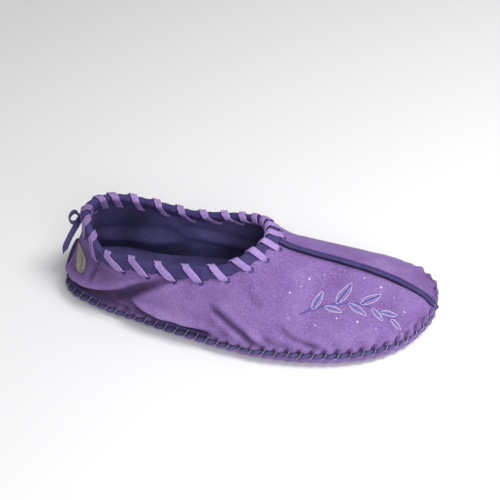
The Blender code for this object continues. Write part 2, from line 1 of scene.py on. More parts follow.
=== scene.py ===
# %% [markdown]
# # A soft leather slipper, stitched round its sole and laced round its collar
# The slipper is a bag of thin leather: a sole, an upper that is gathered into it, and a folded strip
# of suede that a flat lace holds on the collar. The plain solids are in the frame already. Here each
# of them gets the surface of the real one: creases, gathers, stitches, laces and grain.

# %% The frame and the tools
import math

import bmesh
import bpy
import numpy as np
from mathutils import Matrix, Vector
from mathutils.bvhtree import BVHTree


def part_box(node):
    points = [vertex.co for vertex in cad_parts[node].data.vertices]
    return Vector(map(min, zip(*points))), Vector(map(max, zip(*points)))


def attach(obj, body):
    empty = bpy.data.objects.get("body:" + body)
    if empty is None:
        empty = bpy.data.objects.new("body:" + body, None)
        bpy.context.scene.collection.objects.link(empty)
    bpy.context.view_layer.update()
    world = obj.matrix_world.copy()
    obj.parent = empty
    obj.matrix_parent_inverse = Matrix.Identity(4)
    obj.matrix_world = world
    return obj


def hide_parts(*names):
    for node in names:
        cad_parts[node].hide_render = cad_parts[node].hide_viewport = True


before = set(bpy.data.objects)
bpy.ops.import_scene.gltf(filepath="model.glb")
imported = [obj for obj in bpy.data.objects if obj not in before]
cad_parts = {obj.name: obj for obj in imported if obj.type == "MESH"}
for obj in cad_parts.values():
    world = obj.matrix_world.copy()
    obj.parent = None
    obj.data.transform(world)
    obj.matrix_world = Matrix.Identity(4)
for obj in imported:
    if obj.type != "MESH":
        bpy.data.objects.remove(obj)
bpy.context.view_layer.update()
MM = 0.001
OUTER, INNER = 0, 1
print("pieces in the frame:", len(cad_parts))

# %% [markdown]
# ## The shape of the upper
# A soft shoe has no flat side to measure from, so its shape is a row of sections. Each one is a curve
# with four handles that climbs from the sole seam to the collar, or to the raised seam along the
# middle of the toe. Between the rows a smooth spline fills in, which gives a surface with two
# parameters: t, the number of the section from the heel, and v, the share of the way up. Sculpting
# could give such a shape too, but a formula can be asked for any place on it, as later pieces need.

# %% Sections from heel to toe, in millimetres from the lowest point of the heel
# base_x, base_y and foot_z are the upper's lower edge. top_x, top_y and top_z are the collar, then the
# middle seam. low_in, low_up, high_out and high_down are the curve's two handles, and high_fore moves
# the upper one to the toe.
OUTER_SIDE = [
    (0.0, 0.0, 6.2, 20.0, 0.0, 59.0, 3.6, 18.0, 3.0, 20.0, 0.0),
    (7.0, 17.7, 6.2, 33.0, 16.0, 45.8, 2.4, 19.0, 4.0, 20.0, 0.0),
    (28.0, 28.6, 6.4, 43.7, 22.8, 44.4, 1.0, 18.0, 5.0, 20.0, 0.0),
    (58.0, 37.0, 6.9, 60.3, 26.6, 46.8, 1.0, 18.0, 6.0, 18.0, 0.0),
    (92.0, 45.0, 7.6, 91.0, 29.8, 48.2, 0.0, 18.0, 8.0, 16.0, 0.0),
    (122.0, 51.0, 8.8, 124.0, 26.7, 51.2, 0.0, 18.0, 9.5, 12.5, 1.5),
    (145.0, 54.0, 9.7, 141.0, 16.0, 57.2, 0.0, 18.0, 14.5, 7.2, 4.5),
    (163.0, 54.6, 10.3, 149.5, 0.0, 60.0, 0.0, 18.0, 18.5, 3.4, 4.0),
    (183.0, 53.0, 11.0, 167.0, 0.0, 52.3, 0.0, 16.0, 20.0, 2.4, 1.0),
    (205.0, 48.8, 11.0, 198.0, 0.0, 43.2, 0.0, 14.0, 19.0, 3.6, 0.0),
    (227.5, 39.2, 11.0, 221.3, 0.0, 34.7, 0.0, 12.0, 15.7, 4.8, 0.0),
    (245.0, 23.9, 11.0, 239.7, 0.0, 25.5, 0.0, 8.0, 10.5, 5.6, 0.0),
    (255.3, 4.4, 11.0, 251.0, 0.0, 17.6, 0.0, 3.5, 5.0, 3.8, 0.0),
]
INNER_SIDE = [
    (0.0, 0.0, 6.2, 20.0, 0.0, 59.0, 3.6, 18.0, 3.0, 20.0, 0.0),
    (7.0, 23.5, 6.2, 22.0, 17.0, 59.0, 2.0, 19.0, 4.0, 20.0, 0.0),
    (28.0, 32.0, 6.4, 36.3, 26.5, 57.0, 1.0, 18.0, 5.0, 20.0, 0.0),
    (58.0, 29.6, 6.9, 59.2, 28.6, 53.5, 1.0, 18.0, 6.0, 18.0, 0.0),
    (92.0, 30.5, 7.6, 90.5, 26.0, 50.8, 0.0, 18.0, 8.0, 16.0, 0.0),
    (122.0, 33.6, 8.8, 121.5, 24.6, 54.2, 0.0, 18.0, 9.0, 12.5, 2.5),
    (145.0, 37.0, 9.7, 142.0, 16.6, 59.2, 0.0, 18.0, 13.5, 7.0, 7.0),
    (163.0, 40.8, 10.3, 149.5, 0.0, 60.0, 0.0, 18.0, 18.5, 3.4, 9.0),
    (183.0, 45.3, 11.0, 167.0, 0.0, 52.3, 0.0, 17.0, 21.0, 2.4, 4.5),
    (205.0, 47.4, 11.0, 198.0, 0.0, 43.2, 0.0, 13.7, 19.4, 2.0, 1.0),
    (227.5, 46.8, 11.0, 221.3, 0.0, 34.7, 0.0, 10.6, 14.5, 3.0, 0.0),
    (245.0, 42.2, 11.0, 239.7, 0.0, 25.5, 0.0, 7.7, 9.8, 4.2, 0.0),
    (255.3, 29.9, 11.0, 251.0, 0.0, 17.6, 0.0, 3.5, 5.0, 3.8, 0.0),
]
THROAT = 7
LAST = len(OUTER_SIDE)
# how far the middle seam lies to the inner side in each row from the throat, and the row that both
# sides share at the toe
SEAM_Y = (0.0, -0.3, 3.2, 6.3, 8.0, 9.2)
TOE_ROW = np.array([258.0, 8.5, 11.0, 255.0, 8.7, 15.2, 0.0, 1.4, 1.0, 0.8, 0.0])
TOP = slice(3, 6)
# a curve is read just short of its last point, and the sections are smoothed this far from the throat
JUST_SHORT = 1 - 1e-12
SMOOTH_THROAT = 1.3
print("sections on each side:", LAST)


# %% Curves and soft steps
def spline(points, t):
    """Catmull-Rom: a cubic between two points, whose slope at each is half the step between its
    neighbours."""
    points = np.asarray(points, float)
    t = np.asarray(t, float)
    i = np.clip(np.floor(t).astype(int), 0, len(points) - 4)
    f = (t - i)[..., None]
    a, b, c, d = (points[i + k] for k in range(4))
    return 0.5 * (2 * b + (c - a) * f + (2 * a - 5 * b + 4 * c - d) * f**2 + (3 * b - a - 3 * c + d) * f**3)


def through(points, count):
    """A smooth curve through all the points, with count samples."""
    points = np.asarray(points, float)
    ends = np.vstack([2 * points[0] - points[1], points, 2 * points[-1] - points[-2]])
    return spline(ends, np.linspace(0, len(points) - 1, count) * JUST_SHORT)


def unit(vector):
    """The same direction with length 1."""
    return vector / np.maximum(np.linalg.norm(vector, axis=-1, keepdims=True), 1e-12)


def bell(away, reach):
    """1 at no distance, e to the minus 1 at reach, and 0 far away."""
    return np.exp(-((away / reach) ** 2))


def smooth_step(x):
    """0 below 0, 1 above 1, and an S between them."""
    x = np.clip(x, 0, 1)
    return x * x * (3 - 2 * x)


def lengths_along(line):
    """The distance from the line's start to each of its points."""
    return np.concatenate([[0.0], np.cumsum(np.linalg.norm(np.diff(line, axis=0), axis=1))])


def read_line(places, along, line):
    """Points of a line at these distances along it."""
    return np.stack([np.interp(places, along, line[:, k]) for k in range(3)], -1)


print("half-way up an S:", smooth_step(0.5), "and a bell at its reach:", round(float(bell(1.0, 1.0)), 3))


# %% The two sides
def signed_rows(rows, sign):
    """The table with y in the shoe's own frame: the outer side is -Y."""
    table = np.array(rows, float)
    table[:, [1, 4]] *= sign
    table[THROAT:, 4] += np.array(SEAM_Y)
    return table


def with_ends(near, far):
    """One side's rows, with the other side's beyond the heel and the toe, so that the halves meet."""
    beyond = far[-1].copy()
    beyond[TOP] = 2 * TOE_ROW[TOP] - near[-1, TOP]
    return np.vstack([far[1], near, TOE_ROW, beyond])


def collar_rows(near, far):
    """One side's collar up to the throat, with the other side's next row at both ends."""
    return np.vstack([far[1], near[: THROAT + 1], far[THROAT - 1]])[:, TOP]


OUTER_ROWS = signed_rows(OUTER_SIDE, -1)
INNER_ROWS = signed_rows(INNER_SIDE, 1)
SIDES = (with_ends(OUTER_ROWS, INNER_ROWS), with_ends(INNER_ROWS, OUTER_ROWS))
COLLARS = (collar_rows(OUTER_ROWS, INNER_ROWS), collar_rows(INNER_ROWS, OUTER_ROWS))


def top_line(side, t):
    """The collar up to the throat, then the middle seam."""
    t = np.asarray(t, float)
    collar = spline(COLLARS[side], np.minimum(t, THROAT - 1e-9))
    rows = np.vstack([OUTER_ROWS[THROAT:, TOP], TOE_ROW[TOP], SIDES[OUTER][-1, TOP]])
    seam = spline(np.vstack([2 * rows[0] - rows[1], rows]), np.maximum(t - THROAT, 0.0))
    return np.where((t < THROAT)[..., None], collar, seam)


def outward(side, t):
    """The level direction straight out from the sole's outline."""
    run = unit((spline(SIDES[side], t + 1e-3) - spline(SIDES[side], t - 1e-3))[..., :2])
    turn = -1.0 if side == OUTER else 1.0
    return np.stack([-run[..., 1] * turn, run[..., 0] * turn, 0 * run[..., 0]], -1)


def section_point(side, t, v):
    """A cubic Bezier curve from the lower edge to the top line, with its two handles from the table."""
    row = spline(SIDES[side], t)
    out = outward(side, t)
    v = v[..., None]
    base = row[..., 0:3]
    top = top_line(side, t)
    low = base - out * row[..., 6:7] + np.array([0.0, 0.0, 1.0]) * row[..., 7:8]
    high = top + out * row[..., 8:9] + np.stack([row[..., 10], 0 * row[..., 10], -row[..., 9]], -1)
    return (1 - v) ** 3 * base + 3 * (1 - v) ** 2 * v * low + 3 * (1 - v) * v**2 * high + v**3 * top


def wall(side, t, v):
    """The outside of the upper. Beside the throat a section is averaged with two on each side of it,
    except at its ends."""
    t = np.asarray(t, float)
    v = np.asarray(v, float)
    plain = section_point(side, t, v)
    near = bell(t - THROAT, SMOOTH_THROAT) * np.clip((1 - v) / 0.22, 0, 1) * np.clip(v / 0.2, 0, 1)
    total = 2 * plain
    for step in (0.35, 0.7):
        total = total + section_point(side, t - step, v) + section_point(side, t + step, v)
    return plain + near[..., None] * (total / 6 - plain)


coarse_t, coarse_v = np.meshgrid(np.linspace(0, LAST, 261), np.linspace(0, 1, 41), indexing="ij")
ALL_COARSE = np.concatenate([wall(side, coarse_t, coarse_v).reshape(-1, 3) for side in (OUTER, INNER)])
upper_low, upper_high = (np.array(corner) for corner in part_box("upper"))
SHIFT = (upper_low + upper_high) / 2 - MM * (ALL_COARSE.min(axis=0) + ALL_COARSE.max(axis=0)) / 2
SHIFT[2] = upper_low[2] - MM * ALL_COARSE[:, 2].min()
print("from the heel's frame to the row's, in mm:", np.round(SHIFT / MM, 2))

# %% [markdown]
# ## The camera and the light
# The camera stands in front of the outer side, to the heel's side of the middle, and looks down by 40
# degrees with a slight roll. A product shot on a pale sweep has one broad light above and a little
# fill, so that leather shows its creases without hard shadows.

# %% Camera
CAMERA_TURN = math.radians(18.96)
CAMERA_RISE = math.radians(40.47)
CAMERA_ROLL = math.radians(-4.84)
CAMERA_AWAY = 0.697
CAMERA_AIM = np.array([0.130, 0.0, 0.025]) + SHIFT
CAMERA_LENS = 74.56
CAMERA_SHIFT = (0.0141, 0.0455)


def make_camera():
    """A camera on a sphere round its aim: turn and rise give its back axis, and the roll turns the frame."""
    turn, rise, roll = CAMERA_TURN, CAMERA_RISE, CAMERA_ROLL
    back = np.array([math.sin(turn) * math.cos(rise), -math.cos(turn) * math.cos(rise), math.sin(rise)])
    level = np.array([math.cos(turn), math.sin(turn), 0.0])
    right = math.cos(roll) * level + math.sin(roll) * np.cross(back, level)
    top = np.cross(back, right)
    data = bpy.data.cameras.new("camera")
    data.lens = CAMERA_LENS
    data.sensor_width = 36.0
    data.shift_x, data.shift_y = CAMERA_SHIFT
    data.clip_start = 0.01
    made = bpy.data.objects.new("camera", data)
    place = CAMERA_AIM + back * CAMERA_AWAY
    rows = [[right[k], top[k], back[k], place[k]] for k in range(3)]
    made.matrix_world = Matrix(rows + [[0, 0, 0, 1]])
    bpy.context.scene.collection.objects.link(made)
    bpy.context.scene.camera = made
    print("camera at", np.round(place, 3))


make_camera()


# %% Light and floor
def area_light(name, place, aim, size, power):
    """A square soft box that faces its aim."""
    data = bpy.data.lights.new(name, "AREA")
    data.size = size
    data.energy = power
    made = bpy.data.objects.new(name, data)
    made.location = place
    way = CAMERA_AIM + np.array(aim) - np.array(place)
    made.rotation_euler = Vector(way).to_track_quat("-Z", "Y").to_euler()
    bpy.context.scene.collection.objects.link(made)


area_light("key_light", (0.62, -0.02, 1.05), (0, 0, 0), 0.42, 9.6)
area_light("front_light", (0.50, -0.72, 0.68), (0.03, 0, 0), 0.6, 5.2)

bpy.context.scene.view_settings.view_transform = "Standard"
world = bpy.data.worlds.new("pale_room")
bpy.context.scene.world = world
world.use_nodes = True
room = world.node_tree.nodes["Background"].inputs
room["Color"].default_value = (1.0, 1.0, 1.0, 1.0)
room["Strength"].default_value = 0.30


def make_floor():
    """One wide pale sheet under the slipper."""
    mesh = bpy.data.meshes.new("floor")
    half = 6.0
    corners = [(-half, -half, 0), (half, -half, 0), (half, half, 0), (-half, half, 0)]
    mesh.from_pydata(corners, [], [(0, 1, 2, 3)])
    floor = bpy.data.objects.new("floor", mesh)
    bpy.context.scene.collection.objects.link(floor)
    look = bpy.data.materials.new("floor_paper")
    look.use_nodes = True
    shader = look.node_tree.nodes["Principled BSDF"]
    shader.inputs["Base Color"].default_value = (0.93, 0.93, 0.94, 1.0)
    shader.inputs["Roughness"].default_value = 0.9
    mesh.materials.append(look)


make_floor()

# %% [markdown]
# ## Meshes from whole arrays
# Every new surface is a grid of points, worked out in millimetres and put into its mesh at one go.
# One helper sums up each point's outward direction, and another sweeps a profile along a path, which
# makes laces, piping and thread. A bevelled curve could be a thread, but it has one section from end
# to end, and here each ring may be wider, flatter or darker than the one before.

# %% Mesh helpers
def make_piece(name, points, faces, look, stands_for=(), shade_and_wear=None):
    """A mesh object from points in mm of the heel's frame and arrays of faces. It rides on the slipper.
    The last argument gives each point a number from -1 for painted shade in a hollow to 1 for painted light
    on a height. On the sole it marks real wear, and on the lining also the suede's uneven tone."""
    mesh = bpy.data.meshes.new(name)
    points = np.asarray(points, float) * MM + SHIFT
    groups = faces if isinstance(faces, list) else [faces]
    sizes = np.concatenate([np.full(len(group), group.shape[1]) for group in groups])
    loops = np.concatenate([group.ravel() for group in groups]).astype(np.int32)
    mesh.vertices.add(len(points))
    mesh.vertices.foreach_set("co", points.astype(np.float32).ravel())
    mesh.loops.add(len(loops))
    mesh.loops.foreach_set("vertex_index", loops)
    mesh.polygons.add(len(sizes))
    mesh.polygons.foreach_set("loop_start", (np.cumsum(sizes) - sizes).astype(np.int32))
    mesh.update(calc_edges=True)
    if mesh.validate():
        print(name, "had faults, which validate() took away")
    mesh.polygons.foreach_set("use_smooth", np.full(len(mesh.polygons), True))
    marks = mesh.attributes.new("shade_and_wear", "FLOAT", "POINT")
    marks.data.foreach_set("value", np.zeros(len(points)) if shade_and_wear is None else np.clip(shade_and_wear, -1, 1).ravel())
    mesh.materials.append(look)
    made = bpy.data.objects.new(name, mesh)
    bpy.context.scene.collection.objects.link(made)
    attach(made, "root")
    if stands_for:
        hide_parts(*stands_for)
    print(name, "points", len(points), "faces", len(sizes))
    return made


def face_out(piece):
    """Turns all faces outwards."""
    mesh = bmesh.new()
    mesh.from_mesh(piece.data)
    bmesh.ops.recalc_face_normals(mesh, faces=mesh.faces)
    open_edges = sum(not edge.is_manifold for edge in mesh.edges)
    mesh.to_mesh(piece.data)
    mesh.free()
    print(piece.name, "open edges", open_edges)


def normals_of(points, quads):
    """The outward direction at each point: the sum of the cross products of its faces' diagonals."""
    corners = [points[quads[:, k]] for k in range(4)]
    diagonal = np.cross(corners[2] - corners[0], corners[3] - corners[1])
    total = np.zeros_like(points)
    for corner in range(4):
        for axis in range(3):
            total[:, axis] += np.bincount(quads[:, corner], diagonal[:, axis], len(points))
    return unit(total)


def grid_quads(index, closed=False):
    """Faces between the neighbours of a grid of point numbers. A closed grid joins its last column to
    its first."""
    if closed:
        index = np.concatenate([index, index[:, :1]], axis=1)
    return np.stack([index[:-1, :-1], index[1:, :-1], index[1:, 1:], index[:-1, 1:]], -1).reshape(-1, 4)


def sweep(path, across, profile, scale=None):
    """A profile carried along paths: at each point it is drawn in the plane of across and of the way
    through. path and across are (..., n, 3), and profile is (m, 2): across, then through."""
    path = np.asarray(path, float)
    run = unit(np.gradient(path, axis=-2))
    across = np.broadcast_to(across, path.shape)
    across = unit(across - (across * run).sum(-1, keepdims=True) * run)
    profile = np.broadcast_to(profile, (*path.shape[:-1], *profile.shape))
    if scale is not None:
        profile = profile * scale[..., None, :]
    path, across, through_way = (way[..., None, :] for way in (path, across, np.cross(run, across)))
    return path + profile[..., :1] * across + profile[..., 1:] * through_way


def tube_faces(rings, loop=False):
    """Faces for swept rings (..., n, m, 3): round each ring, and closed by slim faces at both ends."""
    count, size = rings.shape[-3:-1]
    single = np.arange(count * size).reshape(count, size)
    if loop:
        faces = grid_quads(np.concatenate([single, single[:1]]), closed=True)
    else:
        low = np.arange(size // 2 - 1)
        start = np.stack([low, low + 1, size - 2 - low, size - 1 - low], -1)
        faces = np.concatenate([grid_quads(single, closed=True), start, start[:, ::-1] + (count - 1) * size])
    copies = int(np.prod(rings.shape[:-3]))
    return (faces[None] + (np.arange(copies) * count * size)[:, None, None]).reshape(-1, 4)


def swept_piece(name, rings, look, stands_for=(), loop=False, shade_and_wear=None):
    """A solid from swept rings, turned to face outwards by the sign of its volume."""
    faces = tube_faces(rings, loop)
    points = rings.reshape(-1, 3)
    a, b, c, d = (points[faces[:, k]] for k in range(4))
    if (np.cross(b - a, c - a) * (a + b + c)).sum() + (np.cross(c - a, d - a) * (a + c + d)).sum() < 0:
        faces = faces[:, ::-1]
    return make_piece(name, points, faces, look, stands_for, shade_and_wear)


def rounded(wide, thick, corner, count=12):
    """A flat lace's section: a rectangle whose corners are a superellipse, from across to through."""
    angle = math.tau * (np.arange(count) + 0.5) / count
    x, y = np.cos(angle), np.sin(angle)
    side_x = wide / 2 * np.sign(x) * np.abs(x) ** corner
    return np.stack([side_x, thick / 2 * np.sign(y) * np.abs(y) ** corner], -1)


def slow_noise(points, size, seed):
    """Soft lumps: five waves of about this size in mm, in directions and phases drawn from the seed."""
    draw = np.random.default_rng(seed)
    total = np.zeros(points.shape[:-1])
    for _ in range(5):
        way = unit(draw.normal(size=3))
        wave = size * draw.uniform(0.7, 1.4)
        total += np.sin(points @ way * math.tau / wave + draw.uniform(0, math.tau))
    return total / 3


print("a lace's section has", len(rounded(1.0, 1.0, 0.5)), "points")

# %% [markdown]
# ## Leather, suede and thread
# The upper is soft nubuck: a matt purple with cloudy patches and a fine pebble that catches the light; its
# glints are also painted into the colour as pale specks. The trim is suede, which is darker, hairy and rubbed
# paler in patches. On both, painted shade darkens the hollows and painted light pales the heights. A tiled
# picture of leather would stretch and show its repeats, so both are mixed from noise on the object's own
# coordinates, and the grain has its real size of about a millimetre.

# %% Nodes
WHITE = (1, 1, 1)
# how far the marks pull a colour: below zero towards painted shade (on the sole, real wear), above zero
# towards painted light (on the sole and lining, uneven tone)
SHADE_AND_WEAR_SHARE = 0.8
LIGHT_AND_TONE_SHARE = 0.4


def new_material(name, roughness, sheen, specular):
    """A Principled material with its constant values set."""
    look = bpy.data.materials.new(name)
    look.use_nodes = True
    shader = look.node_tree.nodes["Principled BSDF"]
    shader.inputs["Roughness"].default_value = roughness
    shader.inputs["Specular IOR Level"].default_value = specular
    shader.inputs["Sheen Weight"].default_value = sheen
    shader.inputs["Sheen Roughness"].default_value = 0.5
    return look, shader


def add_node(look, kind, **settings):
    """A node of this kind, with its settings."""
    node = look.node_tree.nodes.new("ShaderNode" + kind)
    for setting, value in settings.items():
        setattr(node, setting, value)
    return node


def noise_node(look, scale, detail=3.0, rough=0.55):
    """A noise on Object coordinates: scale is in features per metre."""
    where = look.node_tree.nodes.get("Texture Coordinate") or add_node(look, "TexCoord")
    noise = add_node(look, "TexNoise")
    look.node_tree.links.new(where.outputs["Object"], noise.inputs["Vector"])
    noise.inputs["Scale"].default_value = scale
    noise.inputs["Detail"].default_value = detail
    noise.inputs["Roughness"].default_value = rough
    return noise.outputs["Fac"]


def cell_node(look, scale):
    """The distance to the edge of leather's small round cells."""
    where = look.node_tree.nodes["Texture Coordinate"]
    cells = add_node(look, "TexVoronoi", feature="DISTANCE_TO_EDGE")
    look.node_tree.links.new(where.outputs["Object"], cells.inputs["Vector"])
    cells.inputs["Scale"].default_value = scale
    return cells.outputs["Distance"]


def ramp_node(look, source, stops):
    """A colour ramp: stops are (place, colour)."""
    ramp = add_node(look, "ValToRGB")
    elements = ramp.color_ramp.elements
    while len(elements) < len(stops):
        elements.new(0.5)
    for element, (place, colour) in zip(elements, stops):
        element.position = place
        element.color = (*colour, 1.0)
    look.node_tree.links.new(source, ramp.inputs["Fac"])
    return ramp.outputs["Color"]


def scaled_node(look, source, factor, clamp=False):
    """A number times a factor."""
    scaled = add_node(look, "Math", operation="MULTIPLY", use_clamp=clamp)
    scaled.inputs[1].default_value = factor
    look.node_tree.links.new(source, scaled.inputs[0])
    return scaled.outputs[0]


def mix_colours(look, share, first, second, blend="MIX"):
    """One colour over another. share is a number or a socket, and so is each colour."""
    mix = add_node(look, "Mix", data_type="RGBA", blend_type=blend)
    for socket, value in ((mix.inputs[0], share), (mix.inputs[6], first), (mix.inputs[7], second)):
        if isinstance(value, bpy.types.NodeSocket):
            look.node_tree.links.new(value, socket)
        else:
            socket.default_value = (*value, 1.0) if isinstance(value, tuple) else value
    return mix.outputs[2]


def with_shade_and_wear(look, colour, shaded, lit_and_rubbed):
    """The colour darkened by painted shade in hollows and paled by painted light on heights, by the piece's
    own marks; on the sole they are real wear.
    """
    marks = add_node(look, "Attribute", attribute_name="shade_and_wear")
    for factor, other in ((-SHADE_AND_WEAR_SHARE, shaded), (LIGHT_AND_TONE_SHARE, lit_and_rubbed)):
        colour = mix_colours(look, scaled_node(look, marks.outputs["Fac"], factor, True), colour, other)
    return colour


def finish_shader(look, shader, colour, layers):
    """Links the colour, and bumps one on the other: layers are (height, strength, distance in metres)."""
    links = look.node_tree.links
    links.new(colour, shader.inputs["Base Color"])
    before = None
    for height, strength, distance in layers:
        bump = add_node(look, "Bump")
        bump.inputs["Strength"].default_value = strength
        bump.inputs["Distance"].default_value = distance
        links.new(height, bump.inputs["Height"])
        if before:
            links.new(before.outputs["Normal"], bump.inputs["Normal"])
        before = bump
    links.new(before.outputs["Normal"], shader.inputs["Normal"])
    print("finish:", look.name)
    return look


# %% Finishes
def make_nubuck(name, dark, middle, pale, speck, roughness=0.54, sheen=0.25, pebble=1.0):
    """Soft leather: clouds of three shades, pale specks on a pebble of about 1 mm painted in as its glints,
    slow undulation, and painted shade and light from the piece's marks.
    """
    look, shader = new_material(name, roughness, sheen, 0.3)
    shader.inputs["Sheen Tint"].default_value = (*pale, 1.0)
    clouds = noise_node(look, 38.0, 4.0)
    fine = noise_node(look, 900.0, 3.0, 0.6)
    cells = cell_node(look, 1150.0)
    base = ramp_node(look, clouds, [(0.3, dark), (0.5, middle), (0.72, pale)])
    # pale specks: glints of the pebble, painted into the colour
    painted_glints = ramp_node(look, fine, [(0.55, (0, 0, 0)), (0.75, WHITE)])
    colour = mix_colours(look, scaled_node(look, painted_glints, 0.5), base, speck)
    pores = ramp_node(look, fine, [(0.28, (0.62, 0.62, 0.62)), (0.46, WHITE)])
    colour = mix_colours(look, 1.0, colour, pores, "MULTIPLY")
    # painted shade darkens the hollows, and painted light in the speck colour pales the heights
    colour = with_shade_and_wear(look, colour, tuple(0.22 * c for c in dark), speck)
    layers = [(clouds, 0.35, 0.002), (cells, 0.7 * pebble, 0.0009), (fine, 0.75 * pebble, 0.0007)]
    return finish_shader(look, shader, colour, layers)


def make_suede(name, dark, pale, worn, sheen=0.35):
    """Suede: nap in short streaks, with rubbed paler patches, and painted shade and light from the piece's
    marks.
    """
    look, shader = new_material(name, 0.95, sheen, 0.15)
    shader.inputs["Sheen Tint"].default_value = (*worn, 1.0)
    clouds = noise_node(look, 90.0, 5.0, 0.65)
    nap = noise_node(look, 1600.0, 2.0, 0.7)
    base = ramp_node(look, clouds, [(0.32, dark), (0.62, pale), (0.8, worn)])
    colour = mix_colours(look, 0.35, base, ramp_node(look, nap, [(0.35, dark), (0.7, worn)]))
    # the pale colour for painted light on heights and for the lining's paler blotches; the marks also add
    # painted shade in hollows
    lit_and_rubbed = tuple(min(1.0, 1.5 * c) for c in worn)
    colour = with_shade_and_wear(look, colour, tuple(0.25 * c for c in dark), lit_and_rubbed)
    return finish_shader(look, shader, colour, [(clouds, 0.3, 0.001), (nap, 0.5, 0.0004)])


def make_paint(name, colour, roughness, speck):
    """Leather paint: a thin film with brush streaks, and its pigment uneven."""
    look, shader = new_material(name, roughness, 0.0, 0.5)
    streaks = noise_node(look, 700.0, 3.0, 0.7)
    stops = [(0.3, tuple(0.7 * c for c in colour)), (0.6, colour), (0.8, speck)]
    return finish_shader(look, shader, ramp_node(look, streaks, stops), [(streaks, 0.3, 0.0003)])


UPPER_LOOK = make_nubuck(
    "purple_nubuck", (0.20, 0.098, 0.34), (0.262, 0.148, 0.435), (0.325, 0.197, 0.505), (0.50, 0.38, 0.70))
SOLE_LOOK = make_nubuck(
    "purple_sole_leather", (0.19, 0.10, 0.36), (0.25, 0.14, 0.43), (0.30, 0.18, 0.49), (0.40, 0.28, 0.60))
LACE_LOOK = make_nubuck(
    "pale_lace_leather", (0.30, 0.18, 0.49), (0.37, 0.24, 0.58), (0.45, 0.30, 0.67), (0.55, 0.42, 0.78),
    roughness=0.5, sheen=0.1, pebble=0.5)
BOW_LOOK = make_nubuck(
    "dark_lace_leather", (0.06, 0.044, 0.15), (0.095, 0.07, 0.22), (0.14, 0.10, 0.30), (0.18, 0.13, 0.36),
    roughness=0.7, sheen=0.2, pebble=0.6)
TAG_LOOK = make_nubuck(
    "bare_tag_leather", (0.27, 0.27, 0.235), (0.33, 0.33, 0.285), (0.40, 0.40, 0.35), (0.48, 0.48, 0.43),
    sheen=0.0)
TRIM_LOOK = make_suede("indigo_suede", (0.036, 0.028, 0.105), (0.064, 0.05, 0.168), (0.11, 0.09, 0.24))
WELT_LOOK = make_suede("welt_suede", (0.052, 0.044, 0.135), (0.092, 0.078, 0.21), (0.16, 0.14, 0.31))
LINING_LOOK = make_suede("indigo_lining", (0.06, 0.05, 0.158), (0.1, 0.086, 0.25), (0.17, 0.148, 0.36))
THREAD_LOOK = make_suede("pale_thread", (0.32, 0.33, 0.38), (0.52, 0.53, 0.56), (0.68, 0.68, 0.72), sheen=0.1)
INK_LOOK = make_paint("dark_blue_paint", (0.075, 0.06, 0.33), 0.5, (0.16, 0.13, 0.48))
PEARL_LOOK = make_paint("pearl_paint", (0.66, 0.58, 0.86), 0.35, (0.92, 0.9, 1.0))

# %% [markdown]
# ## The outline of the seam, and its stitches
# Sole, welt, upper and stitches all follow one closed line. Its length is measured once and shared
# out, so that a whole number of stitches of about 8 mm goes round the shoe without a jump.

# %% Rim and stitch pitch
STITCH_ABOUT = 8.0
rim_t = np.linspace(0, LAST, 301)
RIM_LINE = [spline(SIDES[side], rim_t)[:, :3] for side in (OUTER, INNER)]
RIM_OUT = [outward(side, rim_t) for side in (OUTER, INNER)]
RIM_LENGTH = [lengths_along(line) for line in RIM_LINE]
RIM_ROUND = RIM_LENGTH[OUTER][-1] + RIM_LENGTH[INNER][-1]
STITCHES = round(RIM_ROUND / STITCH_ABOUT)
PITCH = RIM_ROUND / STITCHES
print("round the seam", round(RIM_ROUND, 1), "mm in", STITCHES, "stitches")


def along_rim(side, t):
    """Distance round the seam: from the heel along the outer side to the toe, and back along the inner."""
    one_way = np.interp(t, rim_t, RIM_LENGTH[side])
    return one_way if side == OUTER else RIM_ROUND - one_way


def rim_at(s):
    """The seam's point and its outward direction at distance s round it."""
    s = np.mod(s, RIM_ROUND)
    on_outer = (s <= RIM_LENGTH[OUTER][-1])[..., None]
    line, out = (
        np.where(on_outer, read_line(s, RIM_LENGTH[OUTER], table[OUTER]),
                 read_line(RIM_ROUND - s, RIM_LENGTH[INNER], table[INNER]))
        for table in (RIM_LINE, RIM_OUT)
    )
    return line, unit(out)


def lobe(s):
    """1 half-way between two stitches and 0 at a stitch, as a leather edge bulges between its stitches."""
    return 0.5 - 0.5 * np.cos(math.tau * s / PITCH)


# %% [markdown]
# ## The upper's skin
# The leather is one grid for each half. Its creases are listed one by one: each one is a curve in t and v
# that sinks a trough into the wall and lifts a ridge beside it. Small gathers stand at the seam, where
# the longer edge of the upper is drawn in by the stitches. A cloth simulation would fold the leather
# where it likes, and these folds have to lie where years of walking put them.

# %% The grid of the skin
TIP_T = 9.5
SKIN_T = np.unique(np.concatenate([np.linspace(0, THROAT, 133), np.linspace(THROAT, TIP_T, 47),
                                   np.linspace(TIP_T, LAST, 83)]))
SKIN_V = np.linspace(0, 1, 74) ** 1.12
print("skin grid:", len(SKIN_T), "by", len(SKIN_V), "points for each half")


def renumbered(index, count):
    """The numbers of the points that a grid uses, and the grid with those points counted from 0."""
    used = np.unique(np.concatenate([half.ravel() for half in index]))
    fresh = np.zeros(count, int)
    fresh[used] = np.arange(len(used))
    return used, [fresh[half] for half in index]


